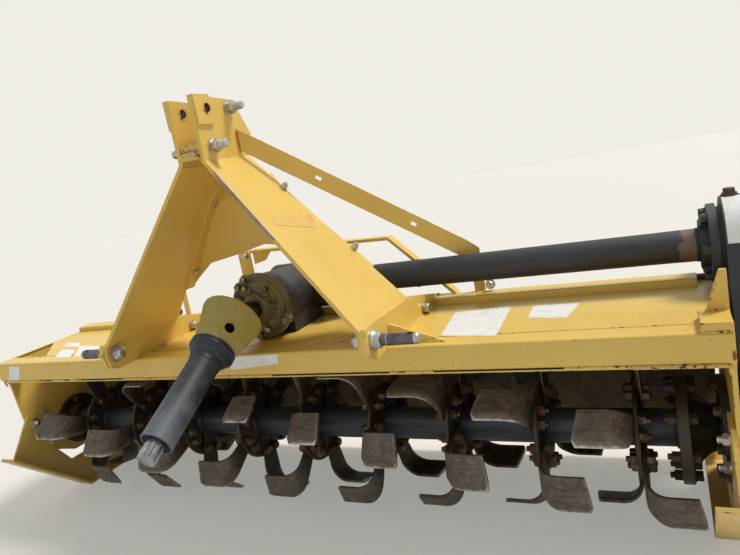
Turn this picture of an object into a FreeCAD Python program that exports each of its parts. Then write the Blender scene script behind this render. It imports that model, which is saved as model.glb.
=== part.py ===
import FreeCAD, Part
import math
import os

V = FreeCAD.Vector
os.makedirs("parts", exist_ok=True)

# Rotor: tines on flanges along one tube, all turning about the X axis.
FLANGE_COUNT = 9
FLANGE_PITCH = 182.0
FLANGE_R = 93.0
FLANGE_T = 8.0
TINES_PER_FLANGE = 6
TINE_R = 190.0
TINE_T = 8.0
TINE_REACH = 88.0
TINE_LEAD = 36.0
WING_W = 72.0
WING_SLOPE_DEG = 23.4
WING_SLANT = 15.0
BEND_R = 42.0
HELIX_STEP = 14.0
FIRST_TINE_DEG = -94.0
ROTOR_TUBE_R = 35.0
ROTOR_WALL = 6.0
STUB_R = 24.0
FLOOR_GAP = 8.0
BEARING_R = 74.0
BEARING_T = 40.0
OUTPUT_FLANGE_R = 98.0
OUTPUT_FLANGE_T = 14.0
COUPLING_R = 104.0
COUPLING_LENGTH = 70.0

# Frame, measured from the lower hitch pins' axis (Y back, Z up) and the hitch centre (X).
ROTOR_X = 26.0
ROTOR_Y = 238.0
ROTOR_DROP = 281.0
LEFT_END_GAP = 161.0
RIGHT_END_GAP = 160.0
RAIL = 50.8
RAIL_WALL = 5.0
RAIL_CORNER_R = 5.0
RAIL_FRONT_Y = 48.0
RAIL_TOP = -32.0
DECK_T = 5.0
DECK_NOTCH = (131.0, 124.0)
REAR_RAIL_Y = 330.0
REAR_RAIL_TOP = -18.0
REAR_RAIL_SHORT = 35.0
SIDE_T = 8.0
HINGE_Y = 458.0
HINGE_Z = -150.0
HINGE_ROD_R = 7.0
FLAP_T = 4.0
FLAP_DROP = 290.0
SKID_W = 56.0
SKID_OUT = 6.0
SKID_T = 8.0

# Three-point hitch.
PIN_SPREAD = 683.0
PIN_R = 11.0
PIN_LENGTH = 91.0
LUG_T = 12.0
SHEET_T = 8.0
MAST_HEIGHT = 481.0
MAST_BACK = 68.0
TOP_BORE_R = 10.0
CLEVIS_HALF = 34.0
EAR_T = 10.0
EAR_PAD_T = 6.0
SHEET_FRONT_Y = -22.0
SHEET_BACK_Y = 212.0
SHEET_FOOT_Z = 21.0
EAR_DEPTH = 106.0
BRACE_OUT = 112.0
BRACE_HALF = 24.0
BRACE_FOOT_Z = 79.0
SLOT_HALF = 7.0
BAR_T = 8.0
STRAP_W = 26.0
STRAP_LEFT_X = -203.0
STRAP_RIGHT_X = 240.0
STRAP_RISE = 40.0

# Gearbox, cross drive and gear case.
DRIVE_Y = 334.0
DRIVE_Z = 46.0
DRIVE_TUBE_R = 30.5
DRIVE_FLANGE_R = 75.0
BOX_FRONT_Y = 142.0
BOX_CROWN_R = 58.0
BOX_LEFT_X = -70.0
BOX_RIGHT_X = 104.0
COVER_R = 76.0
CASE_STANDOFF = 12.0
CASE_T = 58.0
CASE_COVER_T = 10.0
CASE_TOP_R = 86.0
CASE_LOW_R = 86.0

# Driveline half shaft.
JOINT_Y = 30.0
DROOP_DEG = 28.0
INPUT_R = 17.5
TROD_R = 8.0
YOKE_HALF = 38.0
YOKE_EAR_T = 10.0
EYE_R = 15.0
BELL_R = 66.0
BELL_SMALL_R = 43.0
BELL_WALL = 3.5
BELL_LENGTH = 88.0
BELL_BACK = 76.0
BELL_HOLE_R = 11.0
BELL_HOLE_BACK = 46.0
BELL_HOLE_DEG = 33.0
COLLAR_BACK = 108.0
GUARD_R = 31.0
GUARD_END = 300.0
HALF_SHAFT_END = 335.0
HALF_SHAFT_R = 18.0
SHAFT_HUB_R = 20.0
RUN_GAP = 0.3

HALF_SPAN = FLANGE_PITCH * (FLANGE_COUNT - 1) / 2
LEFT_X = ROTOR_X - HALF_SPAN - LEFT_END_GAP
RIGHT_X = ROTOR_X + HALF_SPAN + RIGHT_END_GAP
PIN_HEIGHT = ROTOR_DROP + TINE_R + FLOOR_GAP
FLOOR = -PIN_HEIGHT
LUG_X = PIN_SPREAD / 2
LUG_IN = LUG_X - LUG_T
RAIL_BACK_Y = RAIL_FRONT_Y + RAIL
RAIL_BOTTOM = RAIL_TOP - RAIL
REAR_RAIL_BACK = REAR_RAIL_Y + RAIL
CASE_X0 = RIGHT_X + CASE_STANDOFF
CASE_X1 = CASE_X0 + CASE_T
COUPLING_X1 = RIGHT_X - SIDE_T - OUTPUT_FLANGE_T
COUPLING_X0 = COUPLING_X1 - COUPLING_LENGTH


def box(x0, x1, y0, y1, z0, z1):
    return Part.makeBox(x1 - x0, y1 - y0, z1 - z0, V(x0, y0, z0))


def cyl_x(x0, x1, y, z, r):
    return Part.makeCylinder(r, x1 - x0, V(x0, y, z), V(1, 0, 0))


def cyl_y(y0, y1, x, z, r):
    return Part.makeCylinder(r, y1 - y0, V(x, y0, z), V(0, 1, 0))


def cyl_z(z0, z1, x, y, r):
    return Part.makeCylinder(r, z1 - z0, V(x, y, z0), V(0, 0, 1))


def fuse(shapes):
    body = shapes[0]
    for shape in shapes[1:]:
        body = body.fuse(shape)
    return body.removeSplitter()


def prism(points, direction):
    """Solid from a closed flat polygon of 3D points pushed along direction."""
    wire = Part.makePolygon([V(*p) for p in points] + [V(*points[0])])
    return Part.Face(wire).extrude(V(*direction))


def side_prism(points, x0, x1):
    """Polygon given as (y, z) pairs, extruded from x0 to x1."""
    return prism([(x0, y, z) for y, z in points], (x1 - x0, 0, 0))


def mirror_x(shape):
    return shape.mirror(V(0, 0, 0), V(1, 0, 0))


def thick_line(points, thickness):
    """Closed polygon between an open polyline of pairs and its parallel line below."""
    normals = []
    for (y0, z0), (y1, z1) in zip(points, points[1:]):
        length = math.hypot(y1 - y0, z1 - z0)
        normals.append(((z1 - z0) / length, -(y1 - y0) / length))
    lower = []
    for i, (y, z) in enumerate(points):
        a, b = normals[max(i - 1, 0)], normals[min(i, len(normals) - 1)]
        reach = thickness / (1 + a[0] * b[0] + a[1] * b[1])
        lower.append((y + (a[0] + b[0]) * reach, z + (a[1] + b[1]) * reach))
    return points + lower[::-1]


def square_tube(y0, z_top, x1):
    outer = box(LEFT_X, x1, y0, y0 + RAIL, z_top - RAIL, z_top)
    outer = outer.makeFillet(RAIL_CORNER_R, [e for e in outer.Edges if e.Length > 2 * RAIL])
    w = RAIL_WALL
    return outer.cut(box(LEFT_X - 1, x1 + 1, y0 + w, y0 + RAIL - w, z_top - RAIL + w, z_top - w))


def front_rail():
    return square_tube(RAIL_FRONT_Y, RAIL_TOP, RIGHT_X)


def rear_rail():
    """Rear tube, ending short of the gear case, with a lower block on to the side plate."""
    x1 = RIGHT_X - REAR_RAIL_SHORT
    block = box(x1 - RAIL / 2, RIGHT_X - SIDE_T, REAR_RAIL_Y + 2, REAR_RAIL_BACK - 7,
                REAR_RAIL_TOP - RAIL + 3, REAR_RAIL_TOP - 16)
    return fuse([square_tube(REAR_RAIL_Y, REAR_RAIL_TOP, x1), block])


def hood_sheet():
    """Deck flush with the front rail's top, its web behind the rail and the lip below it."""
    t = DECK_T
    low = RAIL_BOTTOM
    outline = [
        (RAIL_FRONT_Y, low), (RAIL_BACK_Y, low), (RAIL_BACK_Y, RAIL_TOP), (REAR_RAIL_Y, RAIL_TOP),
        (REAR_RAIL_Y, RAIL_TOP - t), (RAIL_BACK_Y + t, RAIL_TOP - t), (RAIL_BACK_Y + t, low - t),
        (RAIL_FRONT_Y, low - t),
    ]
    sheet = side_prism(outline, LEFT_X + SIDE_T, RIGHT_X - SIDE_T)
    x, y = LEFT_X + SIDE_T, RAIL_BACK_Y + t
    return sheet.cut(prism([(x, y, RAIL_TOP - t), (x + DECK_NOTCH[0], y, RAIL_TOP - t),
                            (x, y + DECK_NOTCH[1], RAIL_TOP - t)], (0, 0, 2 * t)))


def rear_sheet():
    """Back of the hood, sloping from the rear rail to just above the flap's hinge."""
    path = [(REAR_RAIL_BACK + 2.5, REAR_RAIL_TOP - 4), (REAR_RAIL_BACK + 14, REAR_RAIL_TOP - 10),
            (HINGE_Y + 4, HINGE_Z + 20)]
    return side_prism(thick_line(path, DECK_T), LEFT_X + SIDE_T, RIGHT_X - SIDE_T)


def side_outline():
    y0, z0 = RAIL_FRONT_Y + 8, RAIL_BOTTOM
    return [
        (y0, z0), (y0 + 10, z0 - 17), (y0 + 18, z0 - 128), (y0 + 66, z0 - 246),
        (ROTOR_Y - 40, z0 - 285), (ROTOR_Y + 70, z0 - 285), (HINGE_Y - 20, z0 - 230),
        (HINGE_Y + 14, HINGE_Z - 20), (HINGE_Y + 14, HINGE_Z + 14), (HINGE_Y + 4, HINGE_Z + 22),
        (REAR_RAIL_BACK + 14, REAR_RAIL_TOP - 12), (REAR_RAIL_BACK, REAR_RAIL_TOP - RAIL),
        (REAR_RAIL_Y, REAR_RAIL_TOP - RAIL), (REAR_RAIL_Y, RAIL_TOP), (RAIL_BACK_Y, RAIL_TOP),
        (RAIL_BACK_Y, RAIL_BOTTOM),
    ]


def side_plate(x0):
    plate = side_prism(side_outline(), x0, x0 + SIDE_T)
    plate = plate.cut(cyl_x(x0 - 1, x0 + SIDE_T + 1, ROTOR_Y, -ROTOR_DROP, STUB_R + 4))
    return plate.cut(cyl_x(x0 - 1, x0 + SIDE_T + 1, HINGE_Y, HINGE_Z, HINGE_ROD_R))


def side_plate_left():
    return side_plate(LEFT_X)


def side_plate_right():
    return side_plate(RIGHT_X - SIDE_T)


def skid(face_x, inward):
    """Runner bolted inside a side plate: flat sole, raised nose and a web round the flange."""
    top = FLOOR + SKID_T
    nose = (-11.0, -ROTOR_DROP - 6)
    path = [nose, (ROTOR_Y - 48, top), (ROTOR_Y + 222, top), (ROTOR_Y + 240, top + 14)]
    x0 = face_x - inward * (SIDE_T + SKID_OUT)
    sole_x = sorted((x0, x0 + inward * SKID_W))
    sole = side_prism(thick_line(path, SKID_T), sole_x[0], sole_x[1])
    notch = -ROTOR_DROP - OUTPUT_FLANGE_R - 8
    web = side_prism([
        (8, nose[1] - 14), (RAIL_FRONT_Y + 30, RAIL_BOTTOM - 121), (RAIL_FRONT_Y + 84, RAIL_BOTTOM - 116),
        (ROTOR_Y - OUTPUT_FLANGE_R - 6, notch + 58), (ROTOR_Y - 66, notch), (ROTOR_Y + 100, notch),
        (ROTOR_Y + 132, FLOOR + 190), (ROTOR_Y + 190, FLOOR + 190), (ROTOR_Y + 205, top - 2),
        (ROTOR_Y - 47, top - 2),
    ], face_x, face_x + inward * SKID_T)
    return fuse([sole, web])


def skid_left():
    return skid(LEFT_X + SIDE_T, 1)


def skid_right():
    return skid(RIGHT_X - SIDE_T, -1)


def bearing_housing_left():
    x0 = LEFT_X + SIDE_T
    y, z = ROTOR_Y, -ROTOR_DROP
    body = fuse([cyl_x(x0, x0 + 12, y, z, BEARING_R), cyl_x(x0, x0 + BEARING_T, y, z, BEARING_R * 0.65)])
    return body.cut(cyl_x(x0 - 1, x0 + BEARING_T + 1, y, z, STUB_R + RUN_GAP))


def output_flange():
    x1 = RIGHT_X - SIDE_T
    body = cyl_x(COUPLING_X1, x1, ROTOR_Y, -ROTOR_DROP, OUTPUT_FLANGE_R)
    return body.cut(cyl_x(COUPLING_X1 - 1, x1 + 1, ROTOR_Y, -ROTOR_DROP, STUB_R + RUN_GAP))


def mast_plate_right():
    """Upper clevis ear, the leaning sheet below it and the sheet's upright foot on the rail."""
    x0, y, z = CLEVIS_HALF, MAST_BACK, MAST_HEIGHT
    low = z - EAR_DEPTH
    ear = side_prism([(y - 34, z + 27), (y + 96, z + 17), (y + 137, z - 57), (y + 110, low), (y - 37, low),
                      (y - 36, z - 36)], x0 - EAR_T, x0)
    pad = box(x0, x0 + EAR_PAD_T, y - 34, y + 14, z - 32, z + 27)
    y0, y1, top, foot = SHEET_FRONT_Y, SHEET_BACK_Y, low + 4, SHEET_FOOT_Z
    sheet = prism([(x0, y - 38, top), (LUG_IN, y0, foot), (LUG_IN, y1, foot), (x0, y + 110, top)],
                  (-SHEET_T * 0.76, 0, -SHEET_T * 0.66))
    rail_y = RAIL_FRONT_Y - 0.5
    upright = side_prism([(y0, foot), (y0 - 6, 0), (y0, -26), (6, -34), (rail_y, -34), (rail_y, RAIL_TOP),
                          (y1, RAIL_TOP), (y1, foot)], LUG_IN - SHEET_T, LUG_IN)
    body = fuse([ear, pad, sheet, upright])
    body = body.cut(cyl_x(LUG_IN - SHEET_T - 1, LUG_IN + 1, 0, 0, PIN_R + RUN_GAP))
    return body.cut(cyl_x(0, x0 + EAR_PAD_T + 1, y, z, TOP_BORE_R))


def mast_plate_left():
    return mirror_x(mast_plate_right())


def lug_plate_right():
    """Outer lug plate from the hitch pin over the deck to the back of the rear rail."""
    y0, rail_y = SHEET_FRONT_Y, RAIL_FRONT_Y - 0.5
    plate = side_prism([
        (y0, 26), (y0 - 12, 4), (y0 - 4, -26), (2, -38), (rail_y, -38), (rail_y, RAIL_TOP),
        (REAR_RAIL_Y, RAIL_TOP), (REAR_RAIL_Y, REAR_RAIL_TOP), (REAR_RAIL_BACK + 6, REAR_RAIL_TOP),
        (SHEET_BACK_Y, SHEET_FOOT_Z + 3), (12, 30),
    ], LUG_IN, LUG_X)
    return plate.cut(cyl_x(LUG_IN - 1, LUG_X + 1, 0, 0, PIN_R + RUN_GAP))


def lug_plate_left():
    return mirror_x(lug_plate_right())


def lug_gusset_right():
    x0, y = LUG_X, RAIL_FRONT_Y + 22
    return prism([(x0, y, RAIL_TOP), (x0 + BRACE_OUT, y, RAIL_TOP), (x0, y, 8)], (0, BAR_T, 0))


def lug_gusset_left():
    return mirror_x(lug_gusset_right())


def lower_pin_right():
    x0 = LUG_X
    inner = LUG_IN - SHEET_T
    pin = cyl_x(inner, x0 + PIN_LENGTH, 0, 0, PIN_R)
    collar = Part.makeCone(19, PIN_R + 1, 18, V(x0, 0, 0), V(1, 0, 0))
    nut = cyl_x(inner - 16, inner, 0, 0, 16)
    hole = cyl_z(-20, 20, x0 + PIN_LENGTH - 16, 0, PIN_R / 2)
    return fuse([pin, collar, nut]).cut(hole)


def lower_pin_left():
    return mirror_x(lower_pin_right())


def mast_spacer():
    return cyl_x(-CLEVIS_HALF + EAR_T, CLEVIS_HALF - EAR_T, MAST_BACK + 62, MAST_HEIGHT - 51, 14)


def brace_right():
    """Slotted flat bar on edge from the mast's top to a foot on the rear rail."""
    x0, y0 = CLEVIS_HALF + 4.2, MAST_BACK + 82
    x1, y1 = LUG_X + BRACE_OUT, REAR_RAIL_BACK - 2
    length = math.hypot(x1 - x0, y1 - y0)
    ux, uy = (x1 - x0) / length, (y1 - y0) / length
    top, bottom, foot, half = MAST_HEIGHT - 68, BRACE_FOOT_Z, REAR_RAIL_TOP, BRACE_HALF
    run = length - half
    outline = [(0, top - half), (0, top + half), (run, bottom + half), (length, bottom + 2),
               (length, foot), (run, foot), (run, bottom - half)]
    bar = prism([(x0 + s * ux, y0 + s * uy, z) for s, z in outline], (-BAR_T * uy, BAR_T * ux, 0))
    for share in (1 / 3, 3 / 4):
        s = share * run
        slot = box(-SLOT_HALF, SLOT_HALF, -2 * BAR_T, 2 * BAR_T, -SLOT_HALF / 2, SLOT_HALF / 2)
        slot.rotate(V(0, 0, 0), V(0, 1, 0), math.degrees(math.atan2(top - bottom, run)))
        slot.rotate(V(0, 0, 0), V(0, 0, 1), math.degrees(math.atan2(uy, ux)))
        slot.translate(V(x0 + s * ux, y0 + s * uy, top + (bottom - top) * share))
        bar = bar.cut(slot)
    return bar


def brace_left():
    return mirror_x(brace_right())


def strap():
    """Flat bar bridging the drive on the rear rail: upright left leg, level top, sloping right leg."""
    top, foot = DRIVE_Z + BOX_CROWN_R + STRAP_RISE, REAR_RAIL_TOP
    x0, x1, y0 = STRAP_LEFT_X, STRAP_RIGHT_X, DRIVE_Y + DRIVE_TUBE_R + 1.5
    run = (top - foot) * 0.92
    path = [(x0, foot), (x0, top + 4), (x1, top - 10), (x1 + run * 1.14, foot - 22)]
    bar = prism([(x, y0, z) for x, z in thick_line(path, BAR_T)], (0, STRAP_W, 0))
    return bar.cut(box(x1, x1 + 2 * run, y0 - 1, y0 + STRAP_W + 1, foot - RAIL, foot))


def gearbox_housing():
    y0, yc, zc = BOX_FRONT_Y + 14, DRIVE_Y, DRIVE_Z
    bell = Part.makeCone(COVER_R - 5, BOX_CROWN_R, yc - y0 - 20, V(0, y0, zc), V(0, 1, 0))
    crown = cyl_x(BOX_LEFT_X, BOX_RIGHT_X, yc, zc, BOX_CROWN_R)
    flange = cyl_x(BOX_RIGHT_X, BOX_RIGHT_X + 14, yc, zc, BOX_CROWN_R + 4)
    cap = cyl_x(BOX_LEFT_X - 12, BOX_LEFT_X, yc, zc, BOX_CROWN_R - 14)
    pedestal = box(-52, 52, y0 + 30, yc - 20, RAIL_TOP, zc - 20)
    return fuse([bell, crown, flange, cap, pedestal])


def gearbox_cover():
    """Round cover with a rim, a step and a domed boss round the input shaft."""
    y0, z = BOX_FRONT_Y, DRIVE_Z
    rim = cyl_y(y0, y0 + 14, 0, z, COVER_R)
    dome = Part.makeCone(BOX_CROWN_R - 10, BOX_CROWN_R, 12, V(0, y0 - 12, z), V(0, 1, 0))
    boss = Part.makeCone(30, 36, 14, V(0, y0 - 24, z), V(0, 1, 0))
    return fuse([rim, dome, boss]).cut(cyl_y(y0 - 25, y0 + 15, 0, z, INPUT_R))


def yoke_body(hub_r, hub_end):
    """Yoke at the origin: ears above and below the cross, hub towards +Y."""
    inner = YOKE_HALF - YOKE_EAR_T
    outline = [
        (-EYE_R, YOKE_HALF), (16, YOKE_HALF), (44, hub_r), (44, -hub_r), (16, -YOKE_HALF),
        (-EYE_R, -YOKE_HALF), (-EYE_R, -inner), (20, -inner), (32, 2 - EYE_R), (32, EYE_R - 2),
        (20, inner), (-EYE_R, inner),
    ]
    half = EYE_R - 2
    plan = fuse([cyl_z(-YOKE_HALF, YOKE_HALF, 0, 0, EYE_R), box(-half, half, 0, 44, -YOKE_HALF, YOKE_HALF)])
    body = fuse([side_prism(outline, -EYE_R, EYE_R).common(plan), cyl_y(34, hub_end, 0, 0, hub_r)])
    return body.cut(cyl_z(-YOKE_HALF - 1, YOKE_HALF + 1, 0, 0, TROD_R + RUN_GAP))


def input_yoke():
    """Fixed yoke of the joint on its stub, which runs into the gearbox."""
    body = fuse([yoke_body(23, 74), cyl_y(60, BOX_FRONT_Y + 14 - JOINT_Y, 0, 0, INPUT_R)])
    body.translate(V(0, JOINT_Y, DRIVE_Z))
    return body


def joint_cross():
    h = YOKE_HALF
    body = fuse([cyl_z(-h, h, 0, 0, TROD_R), cyl_x(-h, h, 0, 0, TROD_R), cyl_y(-9, 9, 0, 0, EYE_R - 1)])
    body.translate(V(0, JOINT_Y, DRIVE_Z))
    return body


def along_shaft(shape):
    """Move a shape modelled along -Y from the joint's centre into the drooping pose."""
    shape.rotate(V(0, 0, 0), V(1, 0, 0), DROOP_DEG)
    shape.translate(V(0, JOINT_Y, DRIVE_Z))
    return shape


def outer_yoke():
    body = yoke_body(SHAFT_HUB_R, BELL_BACK + 20)
    body.rotate(V(0, 0, 0), V(0, 1, 0), 90)
    body.rotate(V(0, 0, 0), V(0, 0, 1), 180)
    return along_shaft(body)


def guard_bell():
    back = V(0, -BELL_BACK, 0)
    outer = Part.makeCone(BELL_SMALL_R, BELL_R, BELL_LENGTH, back, V(0, 1, 0))
    wall = BELL_WALL
    inner = Part.makeCone(BELL_SMALL_R - wall, BELL_R - wall, BELL_LENGTH, back + V(0, wall, 0), V(0, 1, 0))
    hole = Part.makeCylinder(BELL_HOLE_R, BELL_R, V(BELL_SMALL_R / 2, -BELL_HOLE_BACK, 0), V(1, 0, 0))
    hole.rotate(V(0, 0, 0), V(0, 1, 0), -BELL_HOLE_DEG)
    floor_hole = cyl_y(-BELL_BACK - 4, -BELL_BACK + 16, 0, 0, SHAFT_HUB_R + RUN_GAP)
    return along_shaft(outer.cut(inner).cut(hole).cut(floor_hole))


def guard_collar():
    ring = cyl_y(-BELL_BACK - 12, -BELL_BACK, 0, 0, BELL_SMALL_R + 5)
    cone = Part.makeCone(GUARD_R + 3, BELL_SMALL_R + 3, 20, V(0, -COLLAR_BACK, 0), V(0, 1, 0))
    bore = cyl_y(-COLLAR_BACK - 12, -BELL_BACK + 6, 0, 0, SHAFT_HUB_R + RUN_GAP)
    return along_shaft(fuse([ring, cone]).cut(bore))


def guard_tube():
    tube = cyl_y(-GUARD_END, -COLLAR_BACK, 0, 0, GUARD_R)
    return along_shaft(tube.cut(cyl_y(-GUARD_END - 1, -COLLAR_BACK + 1, 0, 0, GUARD_R - 3)))


def half_shaft():
    core = cyl_y(-GUARD_END, -BELL_BACK - 20, 0, 0, HALF_SHAFT_R - 1)
    bush = cyl_y(-GUARD_END + 10, -GUARD_END + 20, 0, 0, GUARD_R - 3.3)
    return along_shaft(fuse([core, cyl_y(-HALF_SHAFT_END, -GUARD_END, 0, 0, HALF_SHAFT_R), bush]))


def drive_tube():
    """Cross tube with a flange at the gearbox and a finned hub and flange at the gear case."""
    x0, x1 = BOX_RIGHT_X + 14, RIGHT_X + 4
    y, z = DRIVE_Y, DRIVE_Z
    parts = [
        cyl_x(x0, x1 - 14, y, z, DRIVE_TUBE_R), cyl_x(x0, x0 + 12, y, z, BOX_CROWN_R),
        cyl_x(x1 - 30, x1 - 14, y, z, DRIVE_TUBE_R * 1.5), cyl_x(x1 - 14, x1, y, z, DRIVE_FLANGE_R),
    ]
    for k in range(6):
        fin = prism([(x1 - 29, 0, DRIVE_TUBE_R), (x1 - 13, 0, DRIVE_TUBE_R), (x1 - 13, 0, DRIVE_FLANGE_R - 2),
                     (x1 - 29, 0, DRIVE_TUBE_R * 1.5 + 2)], (0, 8, 0))
        fin.translate(V(0, -4, 0))
        fin.rotate(V(0, 0, 0), V(1, 0, 0), 30 + 60 * k)
        fin.translate(V(0, y, z))
        parts.append(fin)
    return fuse(parts)


def stadium(y0, z0, r0, y1, z1, r1, x0, x1):
    """Plate hugging two circles, between x0 and x1."""
    dy, dz = y1 - y0, z1 - z0
    base = math.atan2(dz, dy)
    lean = math.acos((r0 - r1) / math.hypot(dy, dz))
    near, far = [], []
    for a in (base + lean, base - lean):
        c, s = math.cos(a), math.sin(a)
        near.append((y0 + r0 * c, z0 + r0 * s))
        far.append((y1 + r1 * c, z1 + r1 * s))
    quad = side_prism([near[0], far[0], far[1], near[1]], x0, x1)
    return fuse([quad, cyl_x(x0, x1, y0, z0, r0), cyl_x(x0, x1, y1, z1, r1)])


def gear_case():
    """Flat case over both shafts, held off the side plate by two round bosses."""
    y, z = ROTOR_Y, -ROTOR_DROP
    body = stadium(DRIVE_Y, DRIVE_Z, CASE_TOP_R, y, z, CASE_LOW_R, CASE_X0, CASE_X1)
    neck = cyl_z(DRIVE_Z + CASE_TOP_R / 2, DRIVE_Z + CASE_TOP_R + 2, CASE_X0 + 17, DRIVE_Y, 15)
    drive_boss = cyl_x(RIGHT_X + 4, CASE_X0, DRIVE_Y, DRIVE_Z, DRIVE_FLANGE_R - 7)
    body = fuse([body, neck, drive_boss, cyl_x(RIGHT_X, CASE_X0, y, z, 70)])
    return body.cut(cyl_x(RIGHT_X - 1, CASE_X0 + 30, y, z, STUB_R + RUN_GAP))


def gear_case_cover():
    return stadium(DRIVE_Y, DRIVE_Z, CASE_TOP_R - 8, ROTOR_Y, -ROTOR_DROP, CASE_LOW_R - 8,
                   CASE_X1, CASE_X1 + CASE_COVER_T)


def filler_plug():
    x, z = CASE_X0 + 17, DRIVE_Z + CASE_TOP_R + 2
    return fuse([cyl_z(z, z + 4, x, DRIVE_Y, 13), cyl_z(z + 4, z + 12, x, DRIVE_Y, 10.5)])


def case_bracket():
    """Raised block on the deck's right end with a tapered upright across it."""
    x1, z = RIGHT_X, RAIL_TOP + 16
    y0, y1 = RAIL_FRONT_Y, RAIL_FRONT_Y + 72
    y, high = y1 - 10, z + 66
    upright = prism([(x1 - 33, y, z), (x1, y, z), (x1, y, high), (x1 - 11, y, high)], (0, 10, 0))
    return fuse([box(x1 - 45, x1, y0, y1, RAIL_TOP, z), upright])


def hinge_rod():
    return cyl_x(LEFT_X, RIGHT_X, HINGE_Y, HINGE_Z, HINGE_ROD_R)


def rear_flap():
    x0, x1 = LEFT_X + SIDE_T + 6, RIGHT_X - SIDE_T - 6
    r = HINGE_ROD_R + RUN_GAP
    barrel = cyl_x(x0, x1, HINGE_Y, HINGE_Z, r + 4)
    z1 = HINGE_Z - FLAP_DROP
    sheet = box(x0, x1, HINGE_Y - FLAP_T / 2, HINGE_Y + FLAP_T / 2, z1, HINGE_Z - r)
    hem = box(x0, x1, HINGE_Y - FLAP_T / 2, HINGE_Y + 26, z1, z1 + FLAP_T)
    return fuse([barrel, sheet, hem]).cut(cyl_x(x0 - 1, x1 + 1, HINGE_Y, HINGE_Z, r))


def rotor_tube():
    x0, x1 = LEFT_X + SIDE_T + BEARING_T + 6, COUPLING_X0
    y, z = ROTOR_Y, -ROTOR_DROP
    tube = cyl_x(x0, x1, y, z, ROTOR_TUBE_R).cut(cyl_x(x0 + 12, x1 - 12, y, z, ROTOR_TUBE_R - ROTOR_WALL))
    return fuse([tube, cyl_x(LEFT_X + 4, x0, y, z, STUB_R)])


def coupling_flange():
    y, z = ROTOR_Y, -ROTOR_DROP
    disc = cyl_x(COUPLING_X0, COUPLING_X0 + 20, y, z, COUPLING_R)
    hub = Part.makeCone(62, 40, 44, V(COUPLING_X0 + 20, y, z), V(1, 0, 0))
    return fuse([disc, hub, cyl_x(COUPLING_X0 + 60, CASE_X0 + 24, y, z, STUB_R)])


def tine(side):
    """L-shaped tine pointing along -Y: a flat bar bent on a large radius, its sharp edge leading down."""
    slope = math.radians(WING_SLOPE_DEG)
    across = V(0, math.sin(slope), math.cos(slope))
    out = V(0, -math.cos(slope), math.sin(slope))
    lead = V(0, -math.sqrt(TINE_R ** 2 - TINE_LEAD ** 2), -TINE_LEAD)
    trail = lead + across * WING_W
    far, start = lead.dot(out), lead.dot(across)
    t, x0, bend = TINE_T, FLANGE_T / 2, BEND_R
    hub = FLANGE_R / 2

    def at(x, n, w=start):
        return V(side * x, 0, 0) + out * n + across * w

    def arc(radius):
        x, n, half = x0 + bend, far - bend, radius * math.sqrt(0.5)
        return Part.Arc(at(x - radius, n), at(x - half, n + half), at(x, n + radius)).toShape()

    bar = [
        arc(bend), Part.makeLine(at(x0 + bend, far), at(TINE_REACH, far)),
        Part.makeLine(at(TINE_REACH, far), at(TINE_REACH, far - t)),
        Part.makeLine(at(TINE_REACH, far - t), at(x0 + bend, far - t)), arc(bend - t),
        Part.makeLine(at(x0 + t, far - bend), at(x0 + t, hub * 0.6)),
        Part.makeLine(at(x0 + t, hub * 0.6), at(x0, hub * 0.6)),
        Part.makeLine(at(x0, hub * 0.6), at(x0, far - bend)),
    ]
    strip = Part.Face(Part.Wire(Part.__sortEdges__(bar))).extrude(across * (5 - start))

    def edge(a, b, c):
        return Part.Arc(V(-99, a.y, a.z), V(-99, b.y, b.z), V(-99, c.y, c.z)).toShape()

    heel, toe = V(0, -hub, hub * 0.43), V(0, -hub, -hub * 0.43)
    lead_out, trail_out = lead + out * 5 - across, trail + out * 5
    trail_in = trail - out * 14
    outline = [
        Part.makeLine(V(-99, heel.y, heel.z), V(-99, toe.y, toe.z)),
        edge(toe, (toe + lead) / 2 - across * 6, lead_out),
        Part.makeLine(V(-99, lead_out.y, lead_out.z), V(-99, trail_out.y, trail_out.z)),
        Part.makeLine(V(-99, trail_out.y, trail_out.z), V(-99, trail_in.y, trail_in.z)),
        edge(trail_in, (trail_in + heel) / 2 - across * 4, heel),
    ]
    mask = Part.Face(Part.Wire(Part.__sortEdges__(outline))).extrude(V(198, 0, 0))
    end = start + WING_W + 1
    wedge = [(TINE_REACH - WING_SLANT, end), (TINE_REACH, start + 14), (TINE_REACH - 13, start - 1),
             (TINE_REACH + 6, start - 1), (TINE_REACH + 6, end)]
    cutter = prism([tuple(at(x, far - 20, w)) for x, w in wedge], tuple(out * 30))
    return strip.common(mask).cut(cutter)


def tine_flange():
    """Flange at the origin with its tines to the left and right in turn."""
    parts = [cyl_x(-FLANGE_T / 2, FLANGE_T / 2, 0, 0, FLANGE_R)]
    for k in range(TINES_PER_FLANGE):
        blade = tine(-1 if k % 2 == 0 else 1)
        blade.rotate(V(0, 0, 0), V(1, 0, 0), -k * 360.0 / TINES_PER_FLANGE)
        parts.append(blade)
    return fuse(parts).cut(cyl_x(-FLANGE_T * 2, FLANGE_T * 2, 0, 0, ROTOR_TUBE_R))


def tine_sets():
    """Flange with tines at each station, turned on along the helix, numbered from the right."""
    pattern = tine_flange()
    sets = {}
    for i in range(FLANGE_COUNT):
        shape = pattern.copy()
        shape.rotate(V(0, 0, 0), V(1, 0, 0), -(FIRST_TINE_DEG + HELIX_STEP * (i - 1)))
        shape.translate(V(ROTOR_X + HALF_SPAN - i * FLANGE_PITCH, ROTOR_Y, -ROTOR_DROP))
        sets["tine_set_%d" % (i + 1)] = shape
    return sets


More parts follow.
